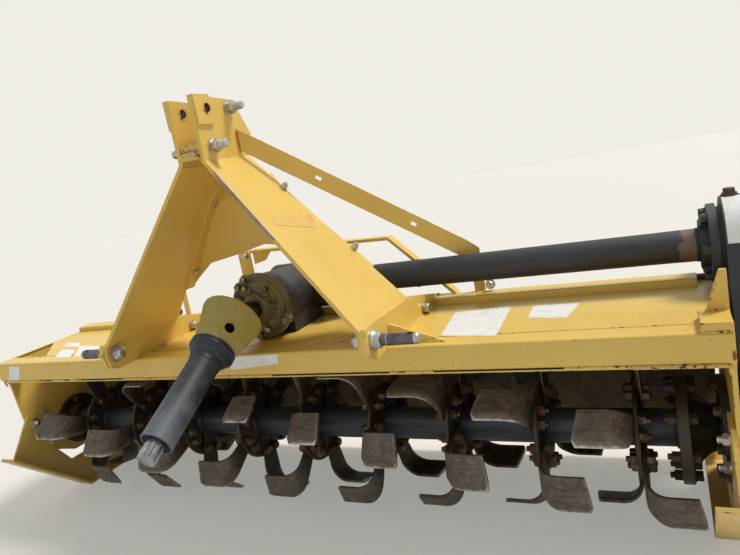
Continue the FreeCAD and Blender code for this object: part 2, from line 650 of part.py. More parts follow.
MAKERS = [
    front_rail, rear_rail, hood_sheet, rear_sheet, side_plate_left, side_plate_right, skid_left, skid_right,
    bearing_housing_left, output_flange, mast_plate_right, mast_plate_left, lug_plate_right, lug_plate_left,
    lug_gusset_right, lug_gusset_left, lower_pin_right, lower_pin_left, mast_spacer, brace_right, brace_left,
    strap, gearbox_housing, gearbox_cover, input_yoke, joint_cross, outer_yoke, guard_bell, guard_collar,
    guard_tube, half_shaft, drive_tube, gear_case, gear_case_cover, filler_plug, case_bracket, hinge_rod,
    rear_flap, rotor_tube, coupling_flange,
]


def row_shift(shapes):
    """Shift that puts the origin under the middle of the whole machine, on the floor."""
    boxes = [shape.optimalBoundingBox(False) for shape in shapes.values()]
    x = (min(b.XMin for b in boxes) + max(b.XMax for b in boxes)) / 2
    y = (min(b.YMin for b in boxes) + max(b.YMax for b in boxes)) / 2
    return V(-x, -y, PIN_HEIGHT)


def main():
    shapes = {maker.__name__: maker() for maker in MAKERS}
    shapes.update(tine_sets())
    shift = row_shift(shapes)
    for node, shape in shapes.items():
        shape.translate(shift)
        shape.exportStep("parts/%s.step" % node)
    print("shift", round(shift.x, 3), round(shift.y, 3), round(shift.z, 3), "nodes", len(shapes))


main()
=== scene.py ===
"""Rotary tiller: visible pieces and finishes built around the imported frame.

Lengths are in millimetres in the hitch frame (origin midway between the lower hitch pins, X to the
gear case, Y to the rear, Z up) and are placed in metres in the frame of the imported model.
"""

from __future__ import annotations

import logging
import math
from dataclasses import dataclass, field
from enum import Enum, IntEnum
from typing import Any, Iterable, Sequence

import bmesh
import bpy
import numpy as np
from mathutils import Matrix, Vector

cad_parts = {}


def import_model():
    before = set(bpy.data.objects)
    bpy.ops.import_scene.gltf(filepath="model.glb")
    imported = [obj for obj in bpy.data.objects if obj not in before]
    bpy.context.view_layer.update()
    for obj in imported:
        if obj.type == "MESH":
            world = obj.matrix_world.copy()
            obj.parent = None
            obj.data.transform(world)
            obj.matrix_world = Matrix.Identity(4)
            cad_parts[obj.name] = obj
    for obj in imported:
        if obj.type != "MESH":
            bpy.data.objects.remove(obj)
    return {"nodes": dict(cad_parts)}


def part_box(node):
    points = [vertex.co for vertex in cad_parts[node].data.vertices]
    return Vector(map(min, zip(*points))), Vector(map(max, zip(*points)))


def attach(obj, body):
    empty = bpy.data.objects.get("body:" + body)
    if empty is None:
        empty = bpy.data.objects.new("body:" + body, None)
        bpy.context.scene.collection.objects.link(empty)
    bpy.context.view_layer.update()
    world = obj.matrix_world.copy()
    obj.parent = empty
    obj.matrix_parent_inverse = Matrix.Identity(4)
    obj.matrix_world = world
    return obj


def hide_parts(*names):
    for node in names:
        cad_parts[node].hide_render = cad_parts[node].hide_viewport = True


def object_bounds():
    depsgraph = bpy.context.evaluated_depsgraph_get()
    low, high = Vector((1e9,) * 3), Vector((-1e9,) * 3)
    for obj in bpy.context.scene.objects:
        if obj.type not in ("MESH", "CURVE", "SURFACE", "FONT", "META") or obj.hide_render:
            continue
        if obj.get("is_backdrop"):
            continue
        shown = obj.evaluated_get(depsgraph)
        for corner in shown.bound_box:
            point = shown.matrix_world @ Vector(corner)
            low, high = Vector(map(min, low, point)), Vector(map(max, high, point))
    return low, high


LOG = logging.getLogger("tiller")
MM = 0.001
RIGHT, LEFT, FRONT, BACK, UP = (1, 0, 0), (-1, 0, 0), (0, -1, 0), (0, 1, 0), (0, 0, 1)

# Points nearer than MERGE_MM are one, faces within FLAT_DEG are one, edges past CREASE_DEG are rounded.
MERGE_MM = 0.01
FLAT_DEG, CREASE_DEG = 1.0, 32.0

Array = np.ndarray
Point = Sequence[float]
Source = bpy.types.Node | bpy.types.NodeSocket


class Body(str, Enum):
    """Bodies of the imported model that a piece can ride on."""

    FRAME = "frame"
    ROTOR = "rotor"
    CROSS = "cross"
    HALF_SHAFT = "half_shaft"
    FLAP = "flap"


class Slot(str, Enum):
    """Material slots of the record."""

    FRAME_PAINT = "frame_paint"
    PLATED_STEEL = "plated_steel"
    GEARBOX_PAINT = "gearbox_paint"
    DRIVE_PAINT = "drive_paint"
    SHAFT_STEEL = "shaft_steel"
    GUARD_PLASTIC = "guard_plastic"
    COLLAR_PLASTIC = "collar_plastic"
    TUBE_PLASTIC = "tube_plastic"
    ROTOR_PAINT = "rotor_paint"
    TINE_STEEL = "tine_steel"


class Hex(IntEnum):
    """Widths across the flats of bolts, nuts and plugs, in millimetres."""

    M8 = 13
    M10_FLANGED = 15
    M10 = 17
    M12 = 19
    M16 = 24
    M20 = 30


# Node materials


def linear(code: str) -> tuple[float, float, float, float]:
    """Turn an sRGB hex colour into linear light.

    Args:
        code: Colour as six hex digits.

    Returns:
        Red, green, blue and an alpha of one.
    """
    parts = [int(code[i : i + 2], 16) / 255 for i in (0, 2, 4)]
    r, g, b = [c / 12.92 if c <= 0.04045 else ((c + 0.055) / 1.055) ** 2.4 for c in parts]
    return r, g, b, 1.0


def link(tree: bpy.types.NodeTree, source: Source, target: bpy.types.NodeSocket) -> None:
    """Link a socket, or the first output of a node, to an input."""
    tree.links.new(source.outputs[0] if isinstance(source, bpy.types.Node) else source, target)


def add_node(
    tree: bpy.types.NodeTree,
    kind: str,
    settings: dict[str | int, Any] | None = None,
    links: dict[str | int, Source] | None = None,
) -> bpy.types.Node:
    """Add one shader node with its settings and links.

    Args:
        tree: Tree that gets the node.
        kind: Node type without its ShaderNode prefix.
        settings: Values by the node's own property name, or by input name or number.
        links: What feeds an input, by its name or number.

    Returns:
        The new node.
    """
    node = tree.nodes.new("ShaderNode" + kind)
    for key, value in (settings or {}).items():
        if isinstance(key, str) and hasattr(node, key):
            setattr(node, key, value)
        else:
            node.inputs[key].default_value = value
    for key, source in (links or {}).items():
        link(tree, source, node.inputs[key])
    return node


def seen_ray(tree: bpy.types.NodeTree) -> bpy.types.Node:
    """Tell the rays that show the background itself from those that light by it.

    Args:
        tree: Tree that gets the nodes.

    Returns:
        Node that gives 1 for camera, glossy and transmission rays and 0 for the others.
    """
    path = add_node(tree, "LightPath").outputs
    either = {"operation": "MAXIMUM"}
    mirrored = add_node(tree, "Math", either, {0: path["Is Glossy Ray"], 1: path["Is Transmission Ray"]})
    return add_node(tree, "Math", either, {0: path["Is Camera Ray"], 1: mirrored})


class NodeMaterial:
    """A node material in the making: its tree, its shader and its object coordinates in metres."""

    def __init__(self, name: str, **shader: float) -> None:
        """Start the material.

        Args:
            name: Name of the real material.
            shader: Plain values of the shader's inputs.
        """
        self.material = bpy.data.materials.new(name)
        self.material.use_nodes = True
        self.tree = self.material.node_tree
        self.shader = self.tree.nodes["Principled BSDF"]
        for key, value in shader.items():
            self.shader.inputs[key].default_value = value
        self.coords = self.add("TexCoord").outputs["Object"]

    def add(
        self, kind: str, settings: dict[str | int, Any] | None = None, links: dict[str | int, Source] | None = None
    ) -> bpy.types.Node:
        """Add one node to this material's tree."""
        return add_node(self.tree, kind, settings, links)

    def blotches(
        self,
        size_mm: float,
        detail: float = 4.0,
        rough: float = 0.55,
        span: tuple[float, float] | None = None,
        top: float = 1.0,
        coords: Source | None = None,
    ) -> bpy.types.Node:
        """Lay out blotches of a real size: fractal noise of 1000 / size_mm cells in a metre.

        Args:
            size_mm: Size of one blotch in millimetres.
            detail: Octaves of finer blotches.
            rough: Strength of the finer octaves.
            span: Noise values that give 0 and top, with what lies outside clamped, or None to keep the noise.
            top: Largest result.
            coords: Coordinates in metres, or None for the object's own.

        Returns:
            Node that gives the pattern.
        """
        settings = {"Scale": 1000.0 / size_mm, "Detail": detail, "Roughness": rough}
        grain = self.add("TexNoise", settings, {"Vector": coords or self.coords})
        if span is None:
            return grain
        return self.add("MapRange", {"From Min": span[0], "From Max": span[1], "To Max": top}, {"Value": grain})

    def coats(self, base: str | Source, *layers: tuple[str | Source, Source]) -> Source:
        """Lay colours over a base, each as thick as its own pattern says.

        Args:
            base: Colour of the ground, as a hex code or a source.
            layers: Colour and pattern of each coat, the lowest first.

        Returns:
            Socket with the colour.
        """
        share, under, over, result = 0, 6, 7, 2
        for tone, pattern in layers:
            settings, links = {"data_type": "RGBA"}, {share: pattern}
            for number, colour in ((under, base), (over, tone)):
                if isinstance(colour, str):
                    settings[number] = linear(colour)
                else:
                    links[number] = colour
            base = self.add("Mix", settings, links).outputs[result]
        return base

    def finished(self, links: dict[str, Source], *relief: tuple[Source, float]) -> bpy.types.Material:
        """Feed the shader and raise the surface by patterns, each on top of the one before.

        Args:
            links: What feeds the shader's inputs, by their names.
            relief: Patterns from 0 to 1 with their heights in millimetres, the coarsest first.

        Returns:
            The material.
        """
        normal: dict[str, Source] = {}
        for pattern, height_mm in relief:
            raised = self.add("Bump", {"Strength": 1.0, "Distance": height_mm * MM}, {"Height": pattern, **normal})
            normal = {"Normal": raised}
        for key, source in {**links, **normal}.items():
            link(self.tree, source, self.shader.inputs[key])
        return self.material


# Finishes


@dataclass(frozen=True)
class Enamel:
    """Sprayed gloss enamel over mild steel: even colour, orange peel, dust low down, chipped edges, and where asked a
    painted shade with dried soil on the faces turned into the hood.
    """

    name: str
    colour: str
    shade: str
    chip: str = "5A3A26"
    dust: str = "A08A68"
    rough: float = 0.3
    chip_share: float = 0.02
    dust_share: float = 0.35
    dust_top: float = 0.42
    peel_mm: float = 0.03
    # Colour of the painted shade on the faces turned forward into the hood, under the soil, or None for none.
    inside: str | None = None
    soil: str = "241B14"

    def shaded_and_soiled(self, made: NodeMaterial, colour: Source) -> Source:
        """Paint the faces turned forward to the rotor dark ochre as painted shade, with blotches of dried soil over
        it.

        Args:
            made: Material that gets the stain.
            colour: Colour of the clean paint.

        Returns:
            Socket with the colour, with painted shade and soil on the faces turned forward.
        """
        normal = made.add("TexCoord").outputs["Normal"]
        forward = made.add("SeparateXYZ", None, {"Vector": normal}).outputs["Y"]
        # The inside colour is painted shade; the dried soil blotches lie over it.
        shade_and_soil = made.coats(self.inside, (self.soil, made.blotches(60, 6, 0.65, (0.36, 0.64))))
        # Painted shade mask: faces whose normal points forward, towards the rotor.
        turned = made.add("MapRange", {"From Min": 0.05, "From Max": -0.15}, {"Value": forward})
        return made.coats(colour, (shade_and_soil, turned))

    def build(self) -> bpy.types.Material:
        """Build the material: paint, painted shade and soil on the inward faces where it has some, dust that thins
        with height, chips.

        Returns:
            The material.
        """
        made = NodeMaterial(self.name, IOR=1.5)
        colour = made.coats(self.colour, (self.shade, made.blotches(260, 3, span=(0.3, 0.75))))
        # Painted shade and soil on the faces turned towards the rotor.
        if self.inside:
            colour = self.shaded_and_soiled(made, colour)
        height = made.add("SeparateXYZ", None, {"Vector": made.coords}).outputs["Z"]
        thinning = {"From Min": self.dust_top, "From Max": 0.03, "To Max": self.dust_share}
        low = made.add("MapRange", thinning, {"Value": height})
        spots = made.blotches(45, 6, 0.65, (0.38, 0.62))
        splash = made.add("Math", {"operation": "MULTIPLY"}, {0: low, 1: spots})
        film = made.blotches(120, 5, 0.6, (0.5, 0.8), self.dust_share * 0.35)
        dusty = made.add("Math", {"operation": "MAXIMUM"}, {0: splash, 1: film})
        chips = made.blotches(9, 5, 0.6, (0.72 - self.chip_share, 0.74 - self.chip_share))
        gloss = made.add("Math", {"operation": "MULTIPLY_ADD", 1: 0.45, 2: self.rough}, {0: dusty})
        patchy = made.blotches(70, 4, span=(0.35, 0.8), top=0.14)
        mottled = made.add("Math", {"operation": "ADD"}, {0: gloss, 1: patchy})
        rough = made.add("Math", {"operation": "MULTIPLY_ADD", 1: 0.3}, {0: chips, 2: mottled})
        paint = made.add("Math", {"operation": "SUBTRACT", 0: 1.0}, {1: chips})
        return made.finished(
            {"Base Color": made.coats(colour, (self.dust, dusty), (self.chip, chips)), "Roughness": rough},
            (made.blotches(95, 2), self.peel_mm * 12),
            (made.blotches(3.5, 2), self.peel_mm),
            (paint, 0.12),
        )


@dataclass(frozen=True)
class CastIron:
    """Sand-cast grey iron under thin paint: pebbled skin, darker oily patches, dust in patches."""

    name: str
    colour: str
    oily: str
    dust: str
    grain_mm: float = 2.2
    rough: float = 0.5

    def build(self) -> bpy.types.Material:
        """Build the material: painted iron, oil, dust, and a skin with the sand's grain.

        Returns:
            The material.
        """
        made = NodeMaterial(self.name)
        patches = made.blotches(55, 5, 0.65, (0.42, 0.66))
        film = made.blotches(16, 6, 0.7, (0.5, 0.75), 0.5)
        rough = made.add("Math", {"operation": "MULTIPLY_ADD", 1: 0.35, 2: self.rough - 0.08}, {0: film})
        return made.finished(
            {"Base Color": made.coats(self.colour, (self.oily, patches), (self.dust, film)), "Roughness": rough},
            (made.blotches(self.grain_mm * 4, 3), 0.5),
            (made.blotches(self.grain_mm, 3, 0.6), 0.28),
        )


@dataclass(frozen=True)
class PlatedSteel:
    """Zinc plate on machined steel: pale grey metal with cloudy patches and dull water marks."""

    name: str
    colour: str
    dull: str
    rough: float = 0.3

    def build(self) -> bpy.types.Material:
        """Build the material: metal that is duller and rougher where it is clouded.

        Returns:
            The material.
        """
        made = NodeMaterial(self.name, Metallic=1.0)
        cloud = made.blotches(14, 5, 0.6, (0.36, 0.68))
        rough = made.add("Math", {"operation": "MULTIPLY_ADD", 1: 0.22, 2: self.rough}, {0: cloud})
        colour = made.coats(self.colour, (self.dull, cloud))
        return made.finished({"Base Color": colour, "Roughness": rough}, (made.blotches(1.6, 3), 0.04))


@dataclass(frozen=True)
class BareSteel:
    """Forged or rolled steel left bare: grey metal under mill scale with brown rust in patches."""

    name: str
    bright: str
    scale: str
    rust: str
    rust_from: float = 0.5
    rough: float = 0.42
    pit_mm: float = 0.18

    def build(self) -> bpy.types.Material:
        """Build the material: metal, scale, and rust that is rough, raised and hardly metallic.

        Returns:
            The material.
        """
        made = NodeMaterial(self.name)
        scale = made.blotches(30, 6, 0.65, (0.4, 0.6))
        rust = made.blotches(22, 8, 0.7, (self.rust_from, self.rust_from + 0.12))
        return made.finished(
            {
                "Base Color": made.coats(self.bright, (self.scale, scale), (self.rust, rust)),
                "Metallic": made.add("Math", {"operation": "MULTIPLY_ADD", 1: -0.85, 2: 0.95}, {0: rust}),
                "Roughness": made.add("Math", {"operation": "MULTIPLY_ADD", 1: 0.3, 2: self.rough}, {0: rust}),
            },
            (made.blotches(5, 5, 0.65), self.pit_mm),
            (rust, self.pit_mm),
        )


@dataclass(frozen=True)
class TineSteel:
    """Spring steel tine: brown scale at the root, dried soil on the wing, ground bright along the cutting edge.

    The piece's wear attribute runs from 0 at the root over about 0.5 on the wing's face to 1 at the edge.
    """

    name: str = "spring_steel_tine"
    scale: str = "26211D"
    rust: str = "553827"
    soil: str = "7C746A"
    bright: str = "B4AFA5"

    def build(self) -> bpy.types.Material:
        """Build the material: scale and rust, soil with streaks along the blade, and the bright edge.

        Returns:
            The material.
        """
        made = NodeMaterial(self.name)
        wear = made.add("Attribute", {"attribute_name": "wear"}).outputs["Fac"]
        uneven = made.add("Math", {"operation": "SUBTRACT", 1: 0.5}, {0: made.blotches(14, 7, 0.68)})
        edge = made.add("Math", {"operation": "MULTIPLY_ADD", 1: 0.75}, {0: uneven, 2: wear})
        film = made.add("MapRange", {"From Min": 0.25, "From Max": 0.62}, {"Value": edge})
        shine = made.add("MapRange", {"From Min": 0.8, "From Max": 1.0}, {"Value": edge})
        along = made.add("VectorMath", {"operation": "MULTIPLY", 1: (0.12, 1.0, 1.0)}, {0: made.coords})
        colour = made.coats(
            self.scale,
            (self.rust, made.blotches(32, 7, 0.7, (0.46, 0.62))),
            (self.soil, film),
            (self.scale, made.blotches(7, 6, 0.7, (0.46, 0.7), 0.6, along.outputs["Vector"])),
            (self.rust, made.blotches(55, 7, 0.7, (0.5, 0.64), 0.7)),
            (self.bright, shine),
        )
        return made.finished(
            {
                "Base Color": colour,
                "Metallic": made.add("Math", {"operation": "MULTIPLY_ADD", 1: 0.7, 2: 0.25}, {0: shine}),
                "Roughness": made.add("Math", {"operation": "MULTIPLY_ADD", 1: -0.3, 2: 0.66}, {0: shine}),
            },
            (made.blotches(6, 5, 0.65), 0.3),
            (film, 0.15),
        )


@dataclass(frozen=True)
class Plastic:
    """Moulded polyethylene: even dye, soft sheen, chalky scuffs, fine scratches, and a pale end that is rubbed wear
    and in part painted sheen.

    The piece's wear attribute, where it has one, says how far the pale colour covers it: rubbed wear and in part
    painted sheen.
    """

    name: str
    colour: str
    chalk: str
    rough: float = 0.45
    scuff: float = 0.4
    # Pale colour of the worn end, which also stands in for painted sheen.
    rubbed: str | None = None

    def build(self) -> bpy.types.Material:
        """Build the material: dyed plastic, scuffs, and the pale colour of rubbed wear and painted sheen where it has
        one.

        Returns:
            The material.
        """
        made = NodeMaterial(self.name, IOR=1.5)
        scuffs = made.blotches(26, 7, 0.7, (0.5, 0.72), self.scuff)
        colour = made.coats(self.colour, (self.chalk, scuffs))
        # Painted sheen in part: the pale colour grows towards the worn end.
        if self.rubbed:
            wear = made.add("Attribute", {"attribute_name": "wear"}).outputs["Fac"]
            uneven = made.add("Math", {"operation": "SUBTRACT", 1: 0.5}, {0: made.blotches(26, 7, 0.7)})
            edge = made.add("Math", {"operation": "MULTIPLY_ADD", 1: 0.9}, {0: uneven, 2: wear})
            cover = made.add("MapRange", {"From Min": 0.3, "From Max": 1.05, "To Max": 0.85}, {"Value": edge})
            colour = made.coats(colour, (self.rubbed, cover))
        rough = made.add("Math", {"operation": "MULTIPLY_ADD", 1: 0.5, 2: self.rough}, {0: scuffs})
        links = {"Base Color": colour, "Roughness": rough}
        return made.finished(links, (made.blotches(18, 2), 0.25), (made.blotches(1.4, 2), 0.03))


@dataclass(frozen=True)
class Vinyl:
    """Blank vinyl sticker: white film, slightly yellowed, with dust rubbed into it."""

    name: str
    colour: str
    stain: str
    rough: float = 0.38

    def build(self) -> bpy.types.Material:
        """Build the material: film that is duller where the dust has gone in.

        Returns:
            The material.
        """
        made = NodeMaterial(self.name)
        stain = made.blotches(24, 6, 0.65, (0.46, 0.75), 0.7)
        rough = made.add("Math", {"operation": "MULTIPLY_ADD", 1: 0.3, 2: self.rough}, {0: stain})
        colour = made.coats(self.colour, (self.stain, stain))
        return made.finished({"Base Color": colour, "Roughness": rough}, (made.blotches(30, 2), 0.1))


@dataclass(frozen=True)
class PaleFloor:
    """Plain pale floor that keeps the shadow, whose own glow, seen but not cast, holds that shadow pale."""

    name: str = "matt_pale_floor"
    colour: str = "E9E7E2"
    fleck: str = "E2E0DA"
    seen: str = "BCBBB7"
    seen_fleck: str = "B7B5B0"
    glow: float = 0.36

    def build(self) -> bpy.types.Material:
        """Build the material: one colour for the light it returns, a deeper glowing one for what is seen.

        Returns:
            The material.
        """
        made = NodeMaterial(self.name, Roughness=0.75)
        made.shader.inputs["Emission Color"].default_value = linear(self.colour)
        specks, seen = made.blotches(40, 3, span=(0.3, 0.8)), seen_ray(made.tree)
        cast = made.coats(self.colour, (self.fleck, specks))
        shown = made.coats(self.seen, (self.seen_fleck, specks))
        glow = made.add("Math", {"operation": "MULTIPLY", 1: self.glow}, {0: seen})
        return made.finished({"Base Color": made.coats(cast, (shown, seen)), "Emission Strength": glow})


class Finish(Enum):
    """Every finish of the tiller, and of the floor that it stands on."""

    YELLOW = Enamel("gloss_yellow_enamel", "E5C462", "DBB654", dust="BFA67C", dust_share=0.5)
    YELLOW_WORN = Enamel("gloss_yellow_enamel_rubbed_edge", "E4C46C", "CFA650", chip_share=0.14, rough=0.4)
    # Painted shade inside the hood: faces turned forward get dark ochre, with dried soil over it.
    YELLOW_SHADED_SOILED = Enamel(
        "yellow_enamel_painted_shade_and_soil_inside", "E5C462", "DBB654", dust="B0966C", rough=0.36, dust_share=0.6, inside="5E4922"
    )
    DARK = Enamel(
        "satin_blue_black_enamel", "25282E", "2D3036", chip="5A4E44", dust="5E574E", rough=0.52, dust_share=0.4
    )
    DARK_WORN = Enamel(
        "satin_blue_black_enamel_rubbed_edge",
        "2C3036",
        "34373D",
        chip="6B6258",
        dust="5E574A",
        rough=0.55,
        chip_share=0.14,
    )
    ROTOR = Enamel(
        "black_enamel_on_rotor", "15130F", "211C16", chip="4A3426", dust="6E5A40", rough=0.42, dust_share=0.5
    )
    ROTOR_TUBE = Enamel(
        "slate_blue_enamel_on_tube", "232B36", "2E353F", chip="4A4038", dust="5E564A", rough=0.4, dust_share=0.3
    )
    BOLT = BareSteel("browned_hexagon_bolt", "6C6255", "3E352B", "5A3A26", rust_from=0.48, rough=0.5)
    DARK_BOLT = Enamel(
        "blue_black_painted_bolt", "1E232B", "2B3038", chip="7A736A", dust="5E574A", rough=0.38, chip_share=0.12
    )
    CAST_BOLT = BareSteel("olive_stained_bolt", "A09A7E", "6C6448", "5C4A30", rust_from=0.56, rough=0.4, pit_mm=0.08)
    CAST = CastIron("cast_iron_olive_paint", "7A6E40", "52412C", "948758")
    CAST_DARK = CastIron("cast_iron_dark_paint", "2C2D31", "231F1C", "58504A", rough=0.6)
    ZINC = PlatedSteel("zinc_plated_steel", "C9C8C2", "9A978C")
    PIN = BareSteel("blued_pin_steel", "6E6C72", "545058", "6A5648", rust_from=0.6, rough=0.42, pit_mm=0.06)
    SHAFT = BareSteel("oiled_machined_steel", "A6AAAE", "6C6E72", "5A4A3A", rust_from=0.64, rough=0.3, pit_mm=0.05)
    FORGED = BareSteel("forged_yoke_steel", "5B5950", "37342C", "4A3A28", rust_from=0.58, rough=0.45)
    TINE = TineSteel()
    BELL = Plastic("moulded_khaki_polyethylene", "AC9D50", "CEC494", rough=0.52, scuff=0.6)
    COLLAR = Plastic("moulded_blue_black_polyethylene", "161C2B", "333A48", rough=0.42)
    # Its pale end is rubbed wear and in part painted sheen.
    TUBE = Plastic("extruded_slate_polyethylene", "20262F", "525B66", rough=0.5, scuff=0.6, rubbed="656D76")
    BROWN = Plastic("brown_nylon_cap", "4A2A18", "6E5038", rough=0.4)
    BRASS = PlatedSteel("yellow_passivated_screw", "A89A5E", "7C7046", rough=0.4)
    LABEL = Vinyl("blank_white_vinyl", "EEF0F0", "CFCBBF")
    STICKER_YELLOW = Vinyl("blank_cream_vinyl", "DDB866", "C79A48")
    PRIMER = CastIron("rubbed_primer_and_rust", "6E5B50", "4A3A32", "85746A")
    CUT_EDGE = CastIron("cut_steel_edge_with_oxide", "9A8A80", "7A695F", "B3A596")
    RUST = CastIron("orange_rust", "8A4A20", "5A2E16", "9A6238")
    # Painted shadow: dark strips laid in the gaps between the stitch welds.
    PAINTED_GAP_SHADOW = Plastic("painted_shadow_in_gap", "120E0A", "1E1812", rough=0.8)
    FLOOR = PaleFloor()


# Surfaces


@dataclass
class Patch:
    """Points in millimetres, the faces between them and how worn each point is."""

    points: Array
    faces: list[Array]
    wear: Array | None = None

    def turned(self, rotation: Array) -> "Patch":
        """Return a copy whose points are multiplied by a 3 by 3 rotation."""
        return Patch(self.points @ np.asarray(rotation).T, self.faces, self.wear)

    def shifted(self, offset: Point) -> "Patch":
        """Return a copy moved by an offset."""
        return Patch(self.points + np.asarray(offset, float), self.faces, self.wear)

    def mirrored(self) -> "Patch":
        """Return a copy mirrored left to right, with its faces turned round."""
        return Patch(self.points * (-1, 1, 1), [f[:, ::-1] for f in self.faces], self.wear)


def joined(patches: Iterable[Patch]) -> Patch:
    """Put several patches into one.

    Args:
        patches: Patches to join.

    Returns:
        One patch that holds them all.
    """
    points, faces, wear, count = [], [], [], 0
    for patch in patches:
        points.append(patch.points)
        wear.append(np.zeros(len(patch.points)) if patch.wear is None else patch.wear)
        faces += [f + count for f in patch.faces]
        count += len(patch.points)
    return Patch(np.concatenate(points), faces, np.concatenate(wear))


def grid_patch(grid: Array, wrap_u: bool = False, wrap_v: bool = True, caps: bool = True) -> Patch:
    """Join a grid of points into quads; point (u, v) joins (u+1, v), (u+1, v+1) and (u, v+1).

    Args:
        grid: Points as an array of shape (rows, columns, 3).
        wrap_u: Whether the last row joins the first.
        wrap_v: Whether the last column joins the first.
        caps: Whether the first and last rows are closed by flat faces.

    Returns:
        The patch.
    """
    rows, cols = grid.shape[:2]
    index = np.arange(rows * cols).reshape(rows, cols)
    down = np.roll(index, -1, 0)[: rows if wrap_u else rows - 1]
    here = index[: rows if wrap_u else rows - 1]
    if not wrap_v:
        here_r, down_r = here[:, 1:], down[:, 1:]
        here, down = here[:, :-1], down[:, :-1]
    else:
        here_r, down_r = np.roll(here, -1, 1), np.roll(down, -1, 1)
    quads = np.stack([here, down, down_r, here_r], -1).reshape(-1, 4)
    faces = [quads]
    if caps and wrap_v and not wrap_u:
        faces += [index[0][None, :], index[-1][::-1][None, :]]
    return Patch(grid.reshape(-1, 3), faces)


def turned_body(profile: Sequence[tuple[float, float]], sides: int = 32, close: bool = True) -> Patch:
    """Turn a profile round the Z axis: point (u, v) = (r(u) cos v, r(u) sin v, h(u)).

    Args:
        profile: Radius and height pairs.
        sides: Steps round the axis.
        close: Whether the profile's last point joins its first, as in a ring.

    Returns:
        The patch.
    """
    r, h = np.array(profile, float).T
    angle = np.arange(sides) * 2 * math.pi / sides
    grid = np.stack([np.outer(r, np.cos(angle)), np.outer(r, np.sin(angle)), np.outer(h, np.ones(sides))], -1)
    return grid_patch(grid, wrap_u=close, caps=not close)


def hex_body(flats: float, height: float, base: float = 0.0, steps: int = 4) -> Patch:
    """Hexagon head or nut along Z: r(u, v) is the smaller of the hexagon and the chamfer cone.

    Args:
        flats: Width across the flats.
        height: Height of the head.
        base: Height at which it starts.
        steps: Steps along each flat.

    Returns:
        The patch.
    """
    angle = np.arange(6 * steps) * 2 * math.pi / (6 * steps)
    local = (angle + math.pi / 6) % (math.pi / 3) - math.pi / 6
    hexagon = flats / 2 / np.cos(local)
    levels = np.array([0.0, height * 0.78, height * 0.9, height])
    cone = np.array([math.inf, flats * 0.572, flats * 0.54, flats * 0.47])
    r = np.minimum(hexagon[None, :], cone[:, None])
    grid = np.stack([r * np.cos(angle), r * np.sin(angle), np.repeat(levels[:, None] + base, len(angle), 1)], -1)
    return grid_patch(grid)


def arc(centre: Point, radius: float, start: float, end: float, steps: int) -> Array:
    """Points on an arc: centre + radius (cos a, sin a) for a from start to end in degrees.

    Args:
        centre: Centre of the arc.
        radius: Its radius.
        start: First angle in degrees.
        end: Last angle in degrees.
        steps: Number of points.

    Returns:
        Array of shape (steps, 2).
    """
    a = np.radians(np.linspace(start, end, steps))
    return np.array(centre) + radius * np.stack([np.cos(a), np.sin(a)], -1)


def sweep(profile: Array, path: Array, scale: Array | None = None, up: Point = UP, ring: bool = False) -> Patch:
    """Carry a closed profile along a path: point (u, v) = path(u) + x(v) side(u) + y(v) top(u).

    Args:
        profile: Closed outline as (x, y) pairs.
        path: Points of the path.
        scale: Size of the profile at each path point, or None for 1.
        up: Direction that the profile's y leans to.
        ring: Whether the path closes on itself.

    Returns:
        The patch.
    """
    path = np.asarray(path, float)
    if ring:
        along = np.roll(path, -1, 0) - np.roll(path, 1, 0)
    else:
        along = np.gradient(path, axis=0)
    along /= np.linalg.norm(along, axis=1, keepdims=True)
    side = np.cross(along, np.asarray(up, float))
    side /= np.linalg.norm(side, axis=1, keepdims=True)
    top = np.cross(side, along)
    size = np.ones(len(path)) if scale is None else np.asarray(scale, float)
    x, y = np.asarray(profile, float).T
    across = x[None, :, None] * side[:, None] + y[None, :, None] * top[:, None]
    return grid_patch(path[:, None] + size[:, None, None] * across, wrap_u=ring, caps=not ring)


def round_profile(radius: float, sides: int = 10, flat: float = 1.0) -> Array:
    """Closed circle of a radius, squashed in y by flat."""
    angle = np.arange(sides) * 2 * math.pi / sides
    return np.stack([np.cos(angle) * radius, np.sin(angle) * radius * flat], -1)


def weld_bead(start: Point, end: Point, width: float = 7.0, up: Point = UP) -> Patch:
    """Weld between two points: a half-round of width (1 + 0.12 sin(2 pi s / 4 mm) + 0.05 sin(0.37 s)).

    Args:
        start: First point.
        end: Last point.
        width: Mean width of the bead.
        up: Direction that the bead stands up in.

    Returns:
        The patch.
    """
    a, b = np.asarray(start, float), np.asarray(end, float)
    length = float(np.linalg.norm(b - a))
    step, wave = 2.0, 4.0
    s = np.linspace(0, 1, max(6, int(length / step)))
    ripple = 1 + 0.12 * np.sin(2 * math.pi * s * length / wave) + 0.05 * np.sin(s * length * 0.37)
    ends = np.minimum(1, np.minimum(s, 1 - s) * length / width + 0.35)
    return sweep(round_profile(width / 2, 8, 0.8), a + (b - a) * s[:, None], ripple * ends, up)


def facing(axis: Point) -> Array:
    """Rotation that turns the Z axis to a direction.

    Args:
        axis: Direction to face.

    Returns:
        A 3 by 3 rotation.
    """
    return np.array(Vector(axis).to_track_quat("Z", "Y").to_matrix())


